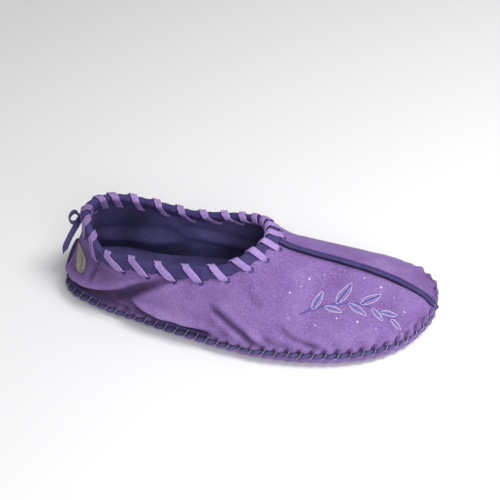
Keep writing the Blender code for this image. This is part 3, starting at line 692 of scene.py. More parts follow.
def both_halves(stations, heights):
    """Points of both halves as one list, with the points joined that they share: at the heel, the toe
    and the middle seam. Returns points, each half's point numbers, and each point's side, t and v."""
    t, v = np.meshgrid(stations, heights, indexing="ij")
    count = t.size
    index = [np.arange(count).reshape(t.shape), np.arange(count, 2 * count).reshape(t.shape)]
    shared = (t <= 0) | (t >= LAST) | ((v >= 1) & (t >= THROAT))
    index[INNER] = np.where(shared, index[OUTER], index[INNER])
    points = np.concatenate([wall(side, t, v).reshape(-1, 3) for side in (OUTER, INNER)])
    facts = [np.repeat([OUTER, INNER], count), np.tile(t.ravel(), 2), np.tile(v.ravel(), 2)]
    used, index = renumbered(index, 2 * count)
    return points[used], index, [fact[used] for fact in facts]


def climbs(points, index):
    """The distance up each section from the lower edge, for every point."""
    up = np.zeros(len(points))
    for half in index:
        grid = points[half]
        steps = np.linalg.norm(np.diff(grid, axis=1), axis=2)
        up[half] = np.concatenate([np.zeros((len(grid), 1)), np.cumsum(steps, axis=1)], axis=1)
    return up


# %% The creases
# side, depth, width, ridge above, ridge below, then the trough's line as (t, v) points
CREASES = [
    (OUTER, 6.4, 3.4, 3.8, 0.4, [(0.0, 0.1), (0.5, 0.07), (1.0, 0.06), (1.6, 0.09), (2.2, 0.16), (2.8, 0.31),
                                 (3.3, 0.56), (3.85, 0.78)]),
    # a broad shallow trough, whose depth also lays a wide band of painted shade on the heel
    (OUTER, 2.1, 7.5, 0.0, 0.0, [(0.4, 0.1), (1.2, 0.08), (2.2, 0.12), (2.9, 0.28), (3.4, 0.48)]),
    (OUTER, 2.4, 2.6, 1.4, 0.8, [(3.1, 0.50), (3.5, 0.64), (3.85, 0.79), (4.1, 0.88), (4.35, 0.95)]),
    (OUTER, 5.2, 2.8, 3.8, 0.0, [(2.9, 0.22), (3.3, 0.14), (3.65, 0.08), (4.1, 0.065), (4.6, 0.06),
                                 (5.2, 0.09)]),
    (OUTER, 3.4, 2.3, 2.0, 1.4, [(4.85, 0.50), (5.1, 0.41), (5.43, 0.30), (5.88, 0.18), (6.3, 0.085),
                                 (6.75, 0.03)]),
    (OUTER, 1.6, 1.9, 1.0, 0.6, [(7.2, 0.27), (7.65, 0.19), (8.1, 0.13), (8.75, 0.07)]),
    (OUTER, 1.6, 2.2, 0.8, 0.8, [(1.5, 0.78), (1.53, 0.66), (1.7, 0.48), (1.9, 0.36)]),
    (OUTER, 1.2, 2.0, 0.7, 0.5, [(0.55, 0.62), (0.9, 0.5), (1.3, 0.4)]),
    (OUTER, 1.3, 2.0, 0.9, 0.4, [(6.6, 0.17), (7.0, 0.11), (7.5, 0.06)]),
    (OUTER, 1.2, 1.6, 0.8, 0.3, [(5.3, 0.17), (5.6, 0.11), (5.95, 0.05)]),
    (OUTER, 1.2, 1.8, 0.8, 0.4, [(2.2, 0.14), (2.7, 0.1), (3.2, 0.05)]),
    (OUTER, 0.9, 2.6, 0.5, 0.3, [(5.9, 0.62), (6.25, 0.5), (6.7, 0.42)]),
    (INNER, 3.6, 4.0, 2.2, 0.4, [(1.0, 0.24), (1.8, 0.2), (2.6, 0.22), (3.3, 0.3), (3.9, 0.44)]),
    (INNER, 2.2, 3.2, 1.4, 1.0, [(3.2, 0.62), (3.9, 0.44), (4.7, 0.28), (5.4, 0.12)]),
    (INNER, 1.8, 3.0, 1.2, 0.6, [(5.6, 0.42), (6.2, 0.26), (6.9, 0.12)]),
    (INNER, 0.9, 2.4, 0.6, 0.4, [(7.4, 0.2), (8.0, 0.12), (8.8, 0.08)]),
]
CREASE_SAMPLES = 90
CREASE_FADE = 0.2
BELOW_HOLES_V = 0.8
print("creases:", len(CREASES), "the deepest", max(crease[1] for crease in CREASES), "mm")


def crease_height(points, facts):
    """For each crease: minus depth times a bell of the distance from its line, plus a bell further off
    on each side for the ridges. All of it fades in along the first fifth of the line and out along the
    last. The upper ridge stays below the lace holes."""
    side, t, v = facts
    height = np.zeros(len(points))
    for on_side, depth, wide, above, below, line in CREASES:
        chosen = np.flatnonzero(side == on_side)
        samples = through(line, CREASE_SAMPLES)
        places = wall(on_side, samples[:, 0], samples[:, 1])
        gap = np.linalg.norm(points[chosen, None, :] - places[None], axis=2)
        near = np.exp(-(gap - gap.min(axis=1, keepdims=True)) / 0.8)
        near /= near.sum(axis=1, keepdims=True)
        away = gap.min(axis=1)
        share = near @ np.linspace(0, 1, CREASE_SAMPLES)
        fade = smooth_step(share / CREASE_FADE) * smooth_step((1 - share) / CREASE_FADE)
        higher = smooth_step(0.5 + (v[chosen] - near @ samples[:, 1]) / 0.04)
        ridge = bell(away - 1.9 * wide, 1.1 * wide)
        room = smooth_step((BELOW_HOLES_V - v[chosen]) / 0.25)
        lift = (higher * above * room + (1 - higher) * below) * ridge
        height[chosen] += fade * (lift - depth * bell(away, wide))
    return height


def eased(index, height, rounds):
    """A height averaged with its neighbours on the grid of each half, this many times."""
    for _ in range(rounds):
        for half in index:
            grid = height[half]
            grid[1:-1] = 0.25 * grid[:-2] + 0.5 * grid[1:-1] + 0.25 * grid[2:]
            grid[:, 1:-1] = 0.25 * grid[:, :-2] + 0.5 * grid[:, 1:-1] + 0.25 * grid[:, 2:]
            height[half] = grid
    return height


# %% Lumps, gathers and the dips at the toe
# middle, depth and reach of two hollows
TOE_DIPS = ((np.array([255.0, 8.7, 14.6]), 2.1, 4.2), (np.array([245.5, 35.0, 18.0]), 1.5, 8.0))


def skin_height(points, index, facts):
    """Creases, lumps, gathers at the seam, and the dip beside the raised strip, in mm out from the plain
    wall, and the painted shade and light that go with them. up is the distance above the seam, and s along
    it."""
    side, t, v = facts
    up = climbs(points, index)
    s = np.where(side == OUTER, along_rim(OUTER, t), along_rim(INNER, t))
    toe = smooth_step((t - 5.5) / 4.0)
    tip = smooth_step((t - TIP_T) / 2.5)

    rough = smooth_step((1 - v) / 0.12) * smooth_step(up / 5)
    creases = eased(index, crease_height(points, facts) * smooth_step((1 - v) / 0.08), 3)
    height = creases + 0.55 * slow_noise(points, 34.0, 3) * rough + 0.22 * slow_noise(points, 13.0, 5) * rough

    ruffle = np.sin(math.tau * s / (PITCH * 1.9) + 2.5 * slow_noise(points, 60.0, 8))
    pit = (1 - lobe(s + 0.4 - 0.35 * up)) ** (3 + tip) * bell(up - 1.2 - 1.6 * tip, 2.2 - 0.3 * tip)
    height += (0.35 + 0.55 * toe + 1.0 * tip) * (lobe(s) - 0.35) * bell(up - 2.0 - tip, 2.0 + 1.0 * toe)
    height -= (0.8 + 0.9 * toe + 0.8 * tip) * pit
    height += 1.1 * tip * bell(up, 2.2)
    for middle, deep, reach in TOE_DIPS:
        height -= deep * bell(np.linalg.norm(points - middle, axis=1), reach)
    height += 0.45 * ruffle * bell(up - 6.0, 5.0)
    height -= 0.3 * bell(up, 1.2)

    seam = smooth_step((t - THROAT) / 0.6)
    away = np.linalg.norm(points - top_line(OUTER, np.maximum(t, THROAT)), axis=1)
    height -= seam * 0.7 * bell(away, 3.0)
    height += seam * 0.5 * bell(away - 7.0, 4.0)

    # painted shade in the crease troughs, the stitch pits, just above the seam, beside the middle strip, at
    # the heel and in a band on the outer side; painted light on the ridges and on the gathers' crests
    shade_and_wear = np.where(creases < 0, creases / 2.9, creases / 6.0) - (0.9 + 0.5 * tip) * pit - 0.5 * bell(up, 1.0)
    shade_and_wear -= 0.6 * seam * bell(away - 2.4, 1.4)
    shade_and_wear += 0.25 * ruffle * bell(up - 6.0, 4.0) - 0.35 * smooth_step((2.8 - t) / 2.6)
    shade_and_wear -= 0.5 * bell(t - 2.1, 1.1) * (side == OUTER)
    return height, shade_and_wear


# %% The leather shell
SKIN_WALL = 1.1
LINING_GAP = 0.1
UPPER_WALL = 1.9


def two_skins(index, outer, inner, stations):
    """One closed shell from an outer and an inner copy of the same grid: the lower edges and the collar
    joined."""
    count = len(outer)
    faces = np.concatenate([grid_quads(index[OUTER]), grid_quads(index[INNER])[:, ::-1]])
    below = np.concatenate([index[OUTER][:, 0], index[INNER][-2::-1, 0]])
    to_throat = int(np.searchsorted(stations, THROAT)) + 1
    above = np.concatenate([index[OUTER][:to_throat, -1], index[INNER][to_throat - 2::-1, -1]])
    lower, upper = (
        np.stack([line[:-1], line[:-1] + count, line[1:] + count, line[1:]], -1) for line in (below, above)
    )
    faces = np.concatenate([faces, faces[:, ::-1] + count, lower, upper[:, ::-1]])
    return np.concatenate([outer, inner]), faces


plain, skin_index, skin_facts = both_halves(SKIN_T, SKIN_V)
skin_faces = np.concatenate([grid_quads(skin_index[OUTER]), grid_quads(skin_index[INNER])[:, ::-1]])
skin_way = normals_of(plain, skin_faces)
if (skin_way * (plain - plain.mean(axis=0))).sum() < 0:
    skin_way = -skin_way
skin_height_mm, skin_light_and_shade = skin_height(plain, skin_index, skin_facts)
skin_points = plain + skin_way * skin_height_mm[:, None]
flat_way = normals_of(skin_points, skin_faces)
flat_way *= np.sign((flat_way * skin_way).sum(axis=1, keepdims=True))
inward = unit(flat_way + 2 * skin_way)
shell_points, shell_faces = two_skins(skin_index, skin_points, skin_points - inward * SKIN_WALL, SKIN_T)
upper_skin = make_piece("upper_skin", shell_points, shell_faces, UPPER_LOOK, ["upper"],
                        shade_and_wear=np.concatenate([skin_light_and_shade, skin_light_and_shade]))

# %% [markdown]
# ## The collar's own coordinates
# Everything round the collar is laid out by three lengths: u along its edge from the heel over the outer
# side, down below the edge along the wall, and out from the wall. A table of feet and ways out is made
# once from the wall, and every later piece reads it with a mix of its four neighbours.

# %% Ways out from a surface
coarse_index = np.arange(coarse_t.size).reshape(coarse_t.shape)
coarse_faces = np.concatenate([grid_quads(coarse_index), grid_quads(coarse_index)[:, ::-1] + coarse_t.size])
WALL_TREE = BVHTree.FromPolygons(ALL_COARSE.tolist(), coarse_faces.tolist())
SKIN_TREE = BVHTree.FromPolygons(skin_points.tolist(), skin_faces.tolist())
print("faces to search:", len(coarse_faces), "on the wall,", len(skin_faces), "on the skin")


def nearest(tree, point, reach):
    """The nearest point of a surface, and the sum of the ways out there from all faces within reach."""
    place = tree.find_nearest(tuple(point))[0]
    ways = [tuple(hit[1]) for hit in tree.find_nearest_range(place, reach)]
    return np.array(place), np.array(ways).sum(axis=0)


def on_wall(point):
    """The nearest point of the plain wall and the way out there, smoothed over 4 mm."""
    place, way = nearest(WALL_TREE, point, 4.0)
    return place, way / np.linalg.norm(way)


def on_skin(points):
    """The nearest places of the leather's outside, and its ways out there, smoothed over 3 mm."""
    found = [nearest(SKIN_TREE, point, 3.0) for point in points.reshape(-1, 3)]
    foot = np.array([place for place, _ in found])
    way = np.array([way for _, way in found])
    way *= np.sign((way * np.array([on_wall(p)[1] for p in foot])).sum(axis=1, keepdims=True))
    return foot.reshape(points.shape), unit(way).reshape(points.shape)


# %% The collar map
COLLAR_COUNT = 400
DOWN_STEP = 2.0
DOWN_COUNT = 13
collar_t = np.linspace(0, THROAT - 1e-6, 200)
collar_rough = np.vstack([top_line(OUTER, collar_t), top_line(INNER, collar_t)[-2:0:-1]])
collar_rough = np.vstack([collar_rough, collar_rough[:1]])
collar_along = lengths_along(collar_rough)
COLLAR_LONG = collar_along[-1]
COLLAR = read_line(np.linspace(0, COLLAR_LONG, COLLAR_COUNT + 1)[:-1], collar_along, collar_rough)
COLLAR_RUN = unit(np.roll(COLLAR, -2, axis=0) - np.roll(COLLAR, 2, axis=0))
COLLAR_OUT = np.array([on_wall(p)[1] for p in COLLAR])
for _ in range(6):
    COLLAR_OUT = unit(np.roll(COLLAR_OUT, 1, axis=0) + COLLAR_OUT + np.roll(COLLAR_OUT, -1, axis=0))
COLLAR_OUT = unit(COLLAR_OUT - (COLLAR_OUT * COLLAR_RUN).sum(axis=1, keepdims=True) * COLLAR_RUN)
COLLAR_DOWN = np.cross(COLLAR_RUN, COLLAR_OUT)
FOOT = np.empty((COLLAR_COUNT, DOWN_COUNT, 3))
WAY = np.empty((COLLAR_COUNT, DOWN_COUNT, 3))
FOOT[:, 0], WAY[:, 0] = COLLAR, COLLAR_OUT
for j in range(1, DOWN_COUNT):
    found = [on_wall(p) for p in COLLAR + COLLAR_DOWN * DOWN_STEP * j]
    share = min(1.0, DOWN_STEP * j / 4.0)
    FOOT[:, j] = [foot for foot, _ in found]
    WAY[:, j] = unit(COLLAR_OUT * (1 - share) + np.array([way for _, way in found]) * share)
print("collar", round(COLLAR_LONG, 1), "mm")


def collar_rows_at(u):
    """The table's rows before and after u, and the share of the way between them."""
    i = np.mod(u / COLLAR_LONG * COLLAR_COUNT, COLLAR_COUNT)
    row = np.floor(i).astype(int) % COLLAR_COUNT
    return row, (row + 1) % COLLAR_COUNT, (i - np.floor(i))[..., None]


def by_collar(u, down, out):
    """Points u mm along the collar, down mm below its edge on the wall, and out mm from its outside."""
    u, down, out = np.broadcast_arrays(*(np.asarray(x, float) for x in (u, down, out)))
    a, b, f = collar_rows_at(u)
    row = np.clip(down / DOWN_STEP, 0, DOWN_COUNT - 1.001)
    j = np.floor(row).astype(int)
    g = (row - j)[..., None]

    def read(table):
        before = (1 - g) * table[a, j] + g * table[a, j + 1]
        return (1 - f) * before + f * ((1 - g) * table[b, j] + g * table[b, j + 1])

    over = np.minimum(down, 0)[..., None] * ((1 - f) * COLLAR_DOWN[a] + f * COLLAR_DOWN[b])
    return read(FOOT) + over + unit(read(WAY)) * out[..., None]


def along_collar(u):
    """The direction along the collar at u."""
    a, b, f = collar_rows_at(np.asarray(u, float))
    return unit((1 - f) * COLLAR_RUN[a] + f * COLLAR_RUN[b])


# %% Where the lace goes over, and its holes
WRAP_COUNT = 23
WRAP_FIRST = -4.0
THROAT_PLACE = 172.0
KNOT_PLACE = 304.0
OUTER_STEP = 19.6
INNER_STEP = 17.5
THROAT_STEP = 8.0
HEEL_SHORTER = 10.0
KNOT_SHORTER = 8.0
SIDE_SLANT = 12.5
THROAT_SLANT = 2.0
HEEL_SLANT = 5.0
HOLE_DEEP = 9.0
HOLE_R = 2.0


def wrap_step(u):
    """How far the lace steps on at u: wide on the sides, short round the throat, the heel and the knot."""
    if u < THROAT_PLACE:
        step = OUTER_STEP - (OUTER_STEP - THROAT_STEP) * bell(u - THROAT_PLACE, 50.0)
    else:
        step = INNER_STEP - (INNER_STEP - THROAT_STEP) * bell(u - THROAT_PLACE, 34.0)
    return step - HEEL_SHORTER * bell(u - 4.0, 12.0) - KNOT_SHORTER * bell(u - KNOT_PLACE, 17.0)


def wrap_slant(u):
    """How far a crossing leans on to its hole at u."""
    slant = SIDE_SLANT - (SIDE_SLANT - THROAT_SLANT) * bell(u - THROAT_PLACE, 55.0)
    return slant - (SIDE_SLANT - HEEL_SLANT) * (bell(u, 18.0) + bell(u - KNOT_PLACE, 18.0))


def wrap_places():
    """Where the lace goes over the collar's edge, one step after another from the heel."""
    places = [WRAP_FIRST]
    while len(places) < WRAP_COUNT:
        half_way = places[-1] + wrap_step(places[-1]) / 2
        places.append(places[-1] + wrap_step(half_way))
    return np.array(places)


def hole_deep(u):
    """How far below the edge a lace hole lies: a little deeper at the throat than along the sides."""
    return HOLE_DEEP + 1.3 * bell(u - 0.48 * COLLAR_LONG, 26.0)


WRAP_PLACES = wrap_places()
WRAP_SLANTS = wrap_slant((WRAP_PLACES[:-1] + WRAP_PLACES[1:]) / 2)
HOLES = WRAP_PLACES[:-1] + WRAP_SLANTS
print("holes", len(HOLES))

# %% The holes, punched through the skin
hole_ends = [by_collar(HOLES + 0.5, hole_deep(HOLES) + 0.4, out) for out in (-6.0, 5.0)]
hole_angle = np.linspace(0, math.tau, 20, endpoint=False)
hole_ring = np.stack([np.cos(hole_angle), np.sin(hole_angle)], -1) * HOLE_R
hole_rods = sweep(np.stack(hole_ends, axis=1), unit(along_collar(HOLES))[:, None, :], hole_ring)
cutter = make_piece("hole_punch", hole_rods.reshape(-1, 3), tube_faces(hole_rods), UPPER_LOOK)


def punched(piece, tool):
    """Cuts the tool from the piece with a Boolean, applies it, and takes the tool away."""
    cut = piece.modifiers.new("holes", "BOOLEAN")
    cut.operation = "DIFFERENCE"
    cut.solver = "MANIFOLD"
    cut.object = tool
    graph = bpy.context.evaluated_depsgraph_get()
    fresh = bpy.data.meshes.new_from_object(piece.evaluated_get(graph))
    before, piece.data = piece.data, fresh
    piece.modifiers.remove(cut)
    bpy.data.meshes.remove(before)
    bpy.data.objects.remove(tool)
    print(piece.name, "after the punch:", len(fresh.polygons), "faces")


face_out(upper_skin)
face_out(cutter)
punched(upper_skin, cutter)

# %% [markdown]
# ## The lining
# A second, thinner skin of dark suede stands just inside the leather and follows its creases. It is
# glued in by hand, so that it has soft lumps of its own. It could be the inside of the same shell, but
# a grid of its own, with every second row, takes a quarter of the faces and its own finish.

# %% Lining
def every_second(values, keep):
    """Every second station, with the ends and the one that must stay."""
    chosen = np.zeros(len(values), bool)
    chosen[::2] = True
    chosen[[0, -1]] = True
    return chosen | np.isclose(values, keep)


lining_rows = every_second(SKIN_T, THROAT)
lining_columns = every_second(SKIN_V, 1.0)
lining_index = [half[np.ix_(lining_rows, lining_columns)] for half in skin_index]
used, lining_index = renumbered(lining_index, len(skin_points))
lining_outer = skin_points[used] - inward[used] * (SKIN_WALL + LINING_GAP)
puff = 0.35 * slow_noise(skin_points[used], 17.0, 21) + 0.5 * slow_noise(skin_points[used], 41.0, 23)
puff *= smooth_step((1 - skin_facts[2][used]) / 0.2)
lining_inner = lining_outer - inward[used] * (UPPER_WALL - SKIN_WALL + np.maximum(puff, -0.5))[:, None]
lining_points, lining_faces = two_skins(lining_index, lining_outer, lining_inner, SKIN_T[lining_rows])
# paler towards the toe, darker at the heel and low down inside: painted light and shade, the low darkening a
# painted shadow of the collar; the slow blotches are the suede's own uneven tone
lining_shade_and_tone = 0.75 * smooth_step((lining_points[:, 0] - 38) / 60) - 0.4
lining_shade_and_tone += 0.3 * slow_noise(lining_points, 31.0, 25)
lining_shade_and_tone -= 0.8 * smooth_step((26 - lining_points[:, 2]) / 14)
face_out(make_piece("suede_lining", lining_points, lining_faces, LINING_LOOK,
                    shade_and_wear=lining_shade_and_tone))

# %% [markdown]
# ## The sole and the insole
# The sole is one piece of the same leather, turned up all round and stitched to the upper from outside.
# Its edge stands in lobes between the stitches, and its underside is flat where it has been worn in.
# An outline pulled up to a plate would have one edge all round. A stack of rings, whose insets and
# heights change along the seam, can be tucked in at the heel and full at the toe.

# %% Seam stations, the same on both halves
SEAM_COUNT = 330
seam_t = np.interp(np.linspace(0, RIM_LENGTH[OUTER][-1], SEAM_COUNT), RIM_LENGTH[OUTER], rim_t)
SEAM_LINE = [spline(SIDES[side], seam_t)[:, :3] for side in (OUTER, INNER)]
SEAM_OUT = [outward(side, seam_t) for side in (OUTER, INNER)]
SEAM_S = [along_rim(side, seam_t) for side in (OUTER, INNER)]
print("seam stations:", SEAM_COUNT, "on each half, about", round(RIM_ROUND / SEAM_COUNT / 2, 2), "mm apart")
FOOT_LOW, FOOT_HIGH = 6.2, 11.0
LEVEL = np.array([1, 1, 0.0])
ACROSS_COUNT = 13


def fullness(height):
    """0 at the heel, where the sole is tucked in, and 1 at the toe, where its edge is full and turned up."""
    return np.clip((height - FOOT_LOW) / (FOOT_HIGH - FOOT_LOW), 0, 1)


def stack_of_rings(rings):
    """A closed solid from loops stacked one on the next. rings[side] is (stations, rings, 3). The first
    and the last loop are filled by straight lines across the shoe from one half to the other."""
    rows, count = rings[0].shape[:2]
    first = 2 * rows * count
    index = list(np.arange(first).reshape(2, rows, count))
    for end in (0, rows - 1):
        index[INNER][end] = index[OUTER][end]
    points = [half.reshape(-1, 3) for half in rings]
    faces = [grid_quads(index[OUTER]), grid_quads(index[INNER])[:, ::-1]]
    tips = []
    share = (np.arange(1, ACROSS_COUNT) / ACROSS_COUNT)[None, :, None]
    for level in (0, count - 1):
        here, there = (half[1:-1, level][:, None] for half in rings)
        points.append((here * (1 - share) + there * share).reshape(-1, 3))
        numbers = first + np.arange((rows - 2) * (ACROSS_COUNT - 1)).reshape(rows - 2, ACROSS_COUNT - 1)
        first += numbers.size
        left, right = (half[1:-1, level, None] for half in index)
        grid = np.concatenate([left, numbers, right], axis=1)
        faces.append(grid_quads(grid)[:, ::-1] if level == 0 else grid_quads(grid))
        for row, pole in ((grid[0], index[OUTER][0, level]), (grid[-1], index[OUTER][-1, level])):
            tips.append(np.stack([np.full(ACROSS_COUNT, pole), row[:-1], row[1:]], -1))
    return np.concatenate(points), [np.concatenate(faces), np.concatenate(tips)]


def rings_through(keys, side, more):
    """Rings through key rings, with more - 1 rings between two of them. A key is an inset from the seam
    and a height, each a number or one for every station."""
    keys = np.array([[np.broadcast_to(value, SEAM_COUNT) for value in key] for key in keys])
    keys = np.vstack([2 * keys[:1] - keys[1:2], keys, 2 * keys[-1:] - keys[-2:-1]])
    places = np.linspace(0, len(keys) - 3, (len(keys) - 3) * more + 1) * JUST_SHORT
    fine = spline(keys.reshape(len(keys), -1), places).reshape(-1, 2, SEAM_COUNT)
    ring = SEAM_LINE[side][:, None] - SEAM_OUT[side][:, None] * fine[:, 0].T[..., None]
    ring[..., 2] = fine[:, 1].T
    return ring


# %% Sole
SOLE_THICK = 3.0
SOLE_ROLL = 9.0
WELT_HIGH = 2.5
WELT_BED = 0.6
EDGE_MORE = 1.3


def rolled(edge, middle, inset):
    """The height at this distance in from the seam: an S from the edge's height to the middle's."""
    f = np.clip(1 - inset / SOLE_ROLL, 0, 1)
    return middle + (edge - middle) * f * f * (3 - 2 * f)


def sole_keys(side):
    """The sole's section from the middle of its underside round its puffed edge to the middle of its
    upper face."""
    rim = SEAM_LINE[side][:, 2]
    full = fullness(rim)
    bulge = lobe(SEAM_S[side] + 2.2) - 0.5
    low_edge = rim - WELT_HIGH - WELT_BED - SOLE_THICK - EDGE_MORE * full
    high_edge = rim - WELT_HIGH - WELT_BED

    def low(inset):
        return rolled(low_edge, 0.0, inset)

    def high(inset):
        return rolled(high_edge, SOLE_THICK, inset)

    keys = [
        (17.0, 0.02),
        (12.0, 0.02),
        (9.4, 0.35),
        (7.2, low(7.2) + 0.1),
        (5.4, low(5.4) - 0.15 - 0.25 * bulge),
        (4.1 - 0.5 * full, low(3.9) - 0.25 - 0.45 * bulge),
        (3.3 - 2.1 * full - 0.5 * bulge, low(1.6) - 0.1 - 0.45 * bulge),
        (2.5 - 3.0 * full - 0.75 * bulge, low(0.4) + 0.8 - 0.1 * bulge),
        (2.3 - 3.2 * full - 0.8 * bulge, (low(0.0) + high(0.0)) / 2 + 0.3),
        (2.5 - 2.8 * full - 0.6 * bulge, high(0.0) - 0.6 + 0.15 * bulge),
        (3.0 - 2.0 * full, high(0.8) + 0.05),
        (4.6, high(4.6)),
        (10.0, SOLE_THICK),
        (17.0, SOLE_THICK),
    ]
    return [(inset, np.maximum(height, 0.0)) for inset, height in keys]


sole_rings = [rings_through(sole_keys(side), side, 3) for side in (OUTER, INNER)]
for half in sole_rings:
    half[..., 2] = np.maximum(half[..., 2], 0.0)
sole_points, sole_faces = stack_of_rings(sole_rings)
dents = slow_noise(sole_points * LEVEL, 24.0, 41)
sole_points[:, 2] += np.where(sole_points[:, 2] < 0.3, 0.14 * np.maximum(dents, 0), 0)
tread = bell(sole_points[:, 0] - 28, 26) + bell(sole_points[:, 0] - 192, 38)
sole_wear = 0.12 * dents - 0.45 * (sole_points[:, 2] < 0.6) * tread
face_out(make_piece("puffed_sole", sole_points, sole_faces, SOLE_LOOK, ["sole"],
                    shade_and_wear=sole_wear))


# %% Insole
def insole_keys(side):
    """A soft suede pad: its rim is thin against the wall, and its face has the dents of a worn footbed."""
    rim = SEAM_LINE[side][:, 2]

    def high(inset):
        return rolled(rim - WELT_HIGH - WELT_BED, SOLE_THICK, inset)

    return [
        (17.0, SOLE_THICK + 0.3),
        (10.5, SOLE_THICK + 0.3),
        (4.9, high(4.9) + 0.4),
        (4.4, high(4.4) + 1.5),
        (2.9, rim + 0.1),
        (2.2, rim + 1.3),
        (3.1, rim + 1.7),
        (6.0, high(6.0) + 3.3),
        (9.0, high(9.0) + 2.8),
        (12.0, SOLE_THICK + 2.75),
        (17.0, SOLE_THICK + 2.8),
    ]


insole_rings = [rings_through(insole_keys(side), side, 2) for side in (OUTER, INNER)]
insole_points, insole_faces = stack_of_rings(insole_rings)
upper_face = insole_points[:, 2] > SOLE_THICK + 1.2
insole_level = insole_points * LEVEL
footbed = 0.35 * slow_noise(insole_level, 26.0, 51) + 0.2 * slow_noise(insole_level, 11.0, 53)
insole_points[:, 2] += upper_face * footbed
face_out(make_piece("suede_insole", insole_points, insole_faces, LINING_LOOK, ["insole"]))

# %% [markdown]
# ## The welt and its stitches
# A strip of suede lies between the upper and the sole. Strong thread whips over all three, every 8 mm,
# and pulls a waist into the strip. Over the suede each stitch shows as a thin pale slant line. Each
# stitch is a thread of its own, swept along one short route that is repeated round the seam, because a
# bump in the material would not break the strip's outline.

# %% The seam's welt
WELT_SIDES = 14
WELT_PER_STITCH = 14
WELT_WIDE = 2.6
WELT_IN = 0.9
STITCH_SLANT = 1.7
TIP_X, TIP_LONG = 205.0, 35.0
welt_count = STITCHES * WELT_PER_STITCH
welt_s = np.arange(welt_count) / welt_count * RIM_ROUND
welt_line, welt_out = rim_at(welt_s)
welt_angle = math.tau * np.arange(WELT_SIDES) / WELT_SIDES


def welt_rings():
    """A rounded strip, 2.5 mm high. It bulges between two stitches, and the waist at a stitch leans to
    the toe."""
    up = np.sin(welt_angle)[None]
    out = np.cos(welt_angle)[None]
    bulge = lobe(welt_s[:, None] - STITCH_SLANT * up) ** 0.6
    fuller = smooth_step((welt_line[:, 2:3] - 7.0) / 3.0)
    lean = 0.25 * slow_noise(welt_line, 19.0, 61)[:, None]
    tucked = 1 - smooth_step((welt_line[:, 2:3] - 6.3) / 3.5)
    tip = smooth_step((welt_line[:, 0:1] - TIP_X) / TIP_LONG)
    waist = 0.38 - 0.2 * tucked
    proud = np.sign(out) * np.abs(out) ** 0.7 * WELT_WIDE * (1 - waist + waist * bulge)
    proud = proud - 0.35 + 0.5 * bulge + lean - (0.5 * (1 - fuller) + 0.3 * tip) * (out > 0)
    half_high = (WELT_HIGH / 2 + 0.15 + 0.45 * tucked) * (1 - 0.6 * waist * (1 - bulge))
    high = np.sign(up) * np.abs(up) ** 0.75 * half_high
    middle = -0.35 - WELT_HIGH / 2 - 0.4 * tucked
    rings = welt_line[:, None] + welt_out[:, None] * (proud - WELT_IN)[..., None]
    rings[..., 2] += middle + high + 0.15 * lean
    # the second result: painted shade in the waist at each stitch and on the top and bottom faces, and
    # painted light on the bulges
    return rings, 1.3 * (bulge - 0.72) - 0.3 * (np.abs(up) > 0.8)


welt_points, welt_light_and_shade = welt_rings()
swept_piece("suede_welt", welt_points, WELT_LOOK, ["sole_welt"], loop=True, shade_and_wear=welt_light_and_shade)

# %% Stitches of the seam
# along the seam, out from the line of the upper's edge, and up from that edge, from above to below
STITCH_ROUTE = np.array([
    (2.7, -1.5, 1.6), (2.5, -0.9, 1.3), (2.2, -0.25, 0.8), (1.8, 0.5, 0.1), (1.2, 1.2, -0.6),
    (0.4, 1.75, -1.6), (-0.5, 1.75, -2.6), (-1.2, 1.2, -3.3), (-1.6, 0.2, -4.2), (-1.7, -1.0, -5.2),
    (-1.8, -2.6, -5.8),
])


def stitch_paths():
    """Each stitch's route. At the heel the sole is thinner and tucked in, so the lower half stays closer."""
    along, out, up = through(STITCH_ROUTE, 26).T
    line, way = rim_at(np.arange(STITCHES)[:, None] * PITCH + along)
    full = fullness(line[..., 2])
    below = np.maximum(-up - 2.5, 0)
    tip = smooth_step((line[..., 0] - TIP_X) / TIP_LONG)
    away = out + (full - 1) * (0.45 * np.minimum(below, 2.0)) - (1 - full) * 0.3 - 0.55 * tip
    paths = line + way * away[..., None]
    paths[..., 2] += up + (1 - full) * 0.27 * below
    return paths, way


swept_piece("seam_stitches", sweep(*stitch_paths(), rounded(0.40, 0.36, 1.0, 6)), THREAD_LOOK)

# %% [markdown]
# ## The strip on the middle seam, and the heel seam
# A folded strip of suede is sewn in the middle seam of the toe and stands up between its two halves. The
# fold leaves a line along it. At the heel a like strip is whipped over more roughly. Both are one
# section swept along the seam, which keeps the fold's line in the same place from end to end.

# %% The raised strip of the middle seam
STRIP_FIRST, STRIP_LAST, STRIP_COUNT = THROAT + 0.45, 12.05, 146
STRIP_END = ((252.9, 8.9, 15.6), (254.9, 8.6, 13.6), (256.8, 8.4, 11.4), (257.9, 8.3, 10.2),
             (260.3, 8.4, 9.9))
strip_seam = top_line(OUTER, np.linspace(STRIP_FIRST, STRIP_LAST, STRIP_COUNT))
strip_line = np.vstack([strip_seam, through(STRIP_END, 28)])
strip_run = unit(np.gradient(strip_line, axis=0))
strip_side = unit(np.cross(strip_run, np.array([0.0, 0.0, -1.0])))
strip_up = np.cross(strip_side, strip_run)
strip_up *= np.sign(strip_up[:, 2:3])
# share of the half width, and height above the leather
STRIP_OUTLINE = np.array([
    (1.0, -0.35), (1.1, 0.3), (1.08, 1.1), (0.92, 1.6), (0.66, 1.75), (0.4, 1.66), (0.22, 1.34), (0.04, 1.4),
    (-0.2, 1.74), (-0.56, 1.84), (-0.92, 1.66), (-1.12, 1.1), (-1.12, 0.3), (-1.0, -0.35), (-0.35, -0.4),
    (0.35, -0.4),
])
# -1 for painted shade at the sides and in the fold, 1 for painted light on the top
STRIP_LIGHT_AND_SHADE = np.array([-1, -1, -0.8, 0.0, 0.3, 0.1, -0.5, -0.4, 0.3, 0.4, 0.0, -0.9, -1, -1, -1, -1])


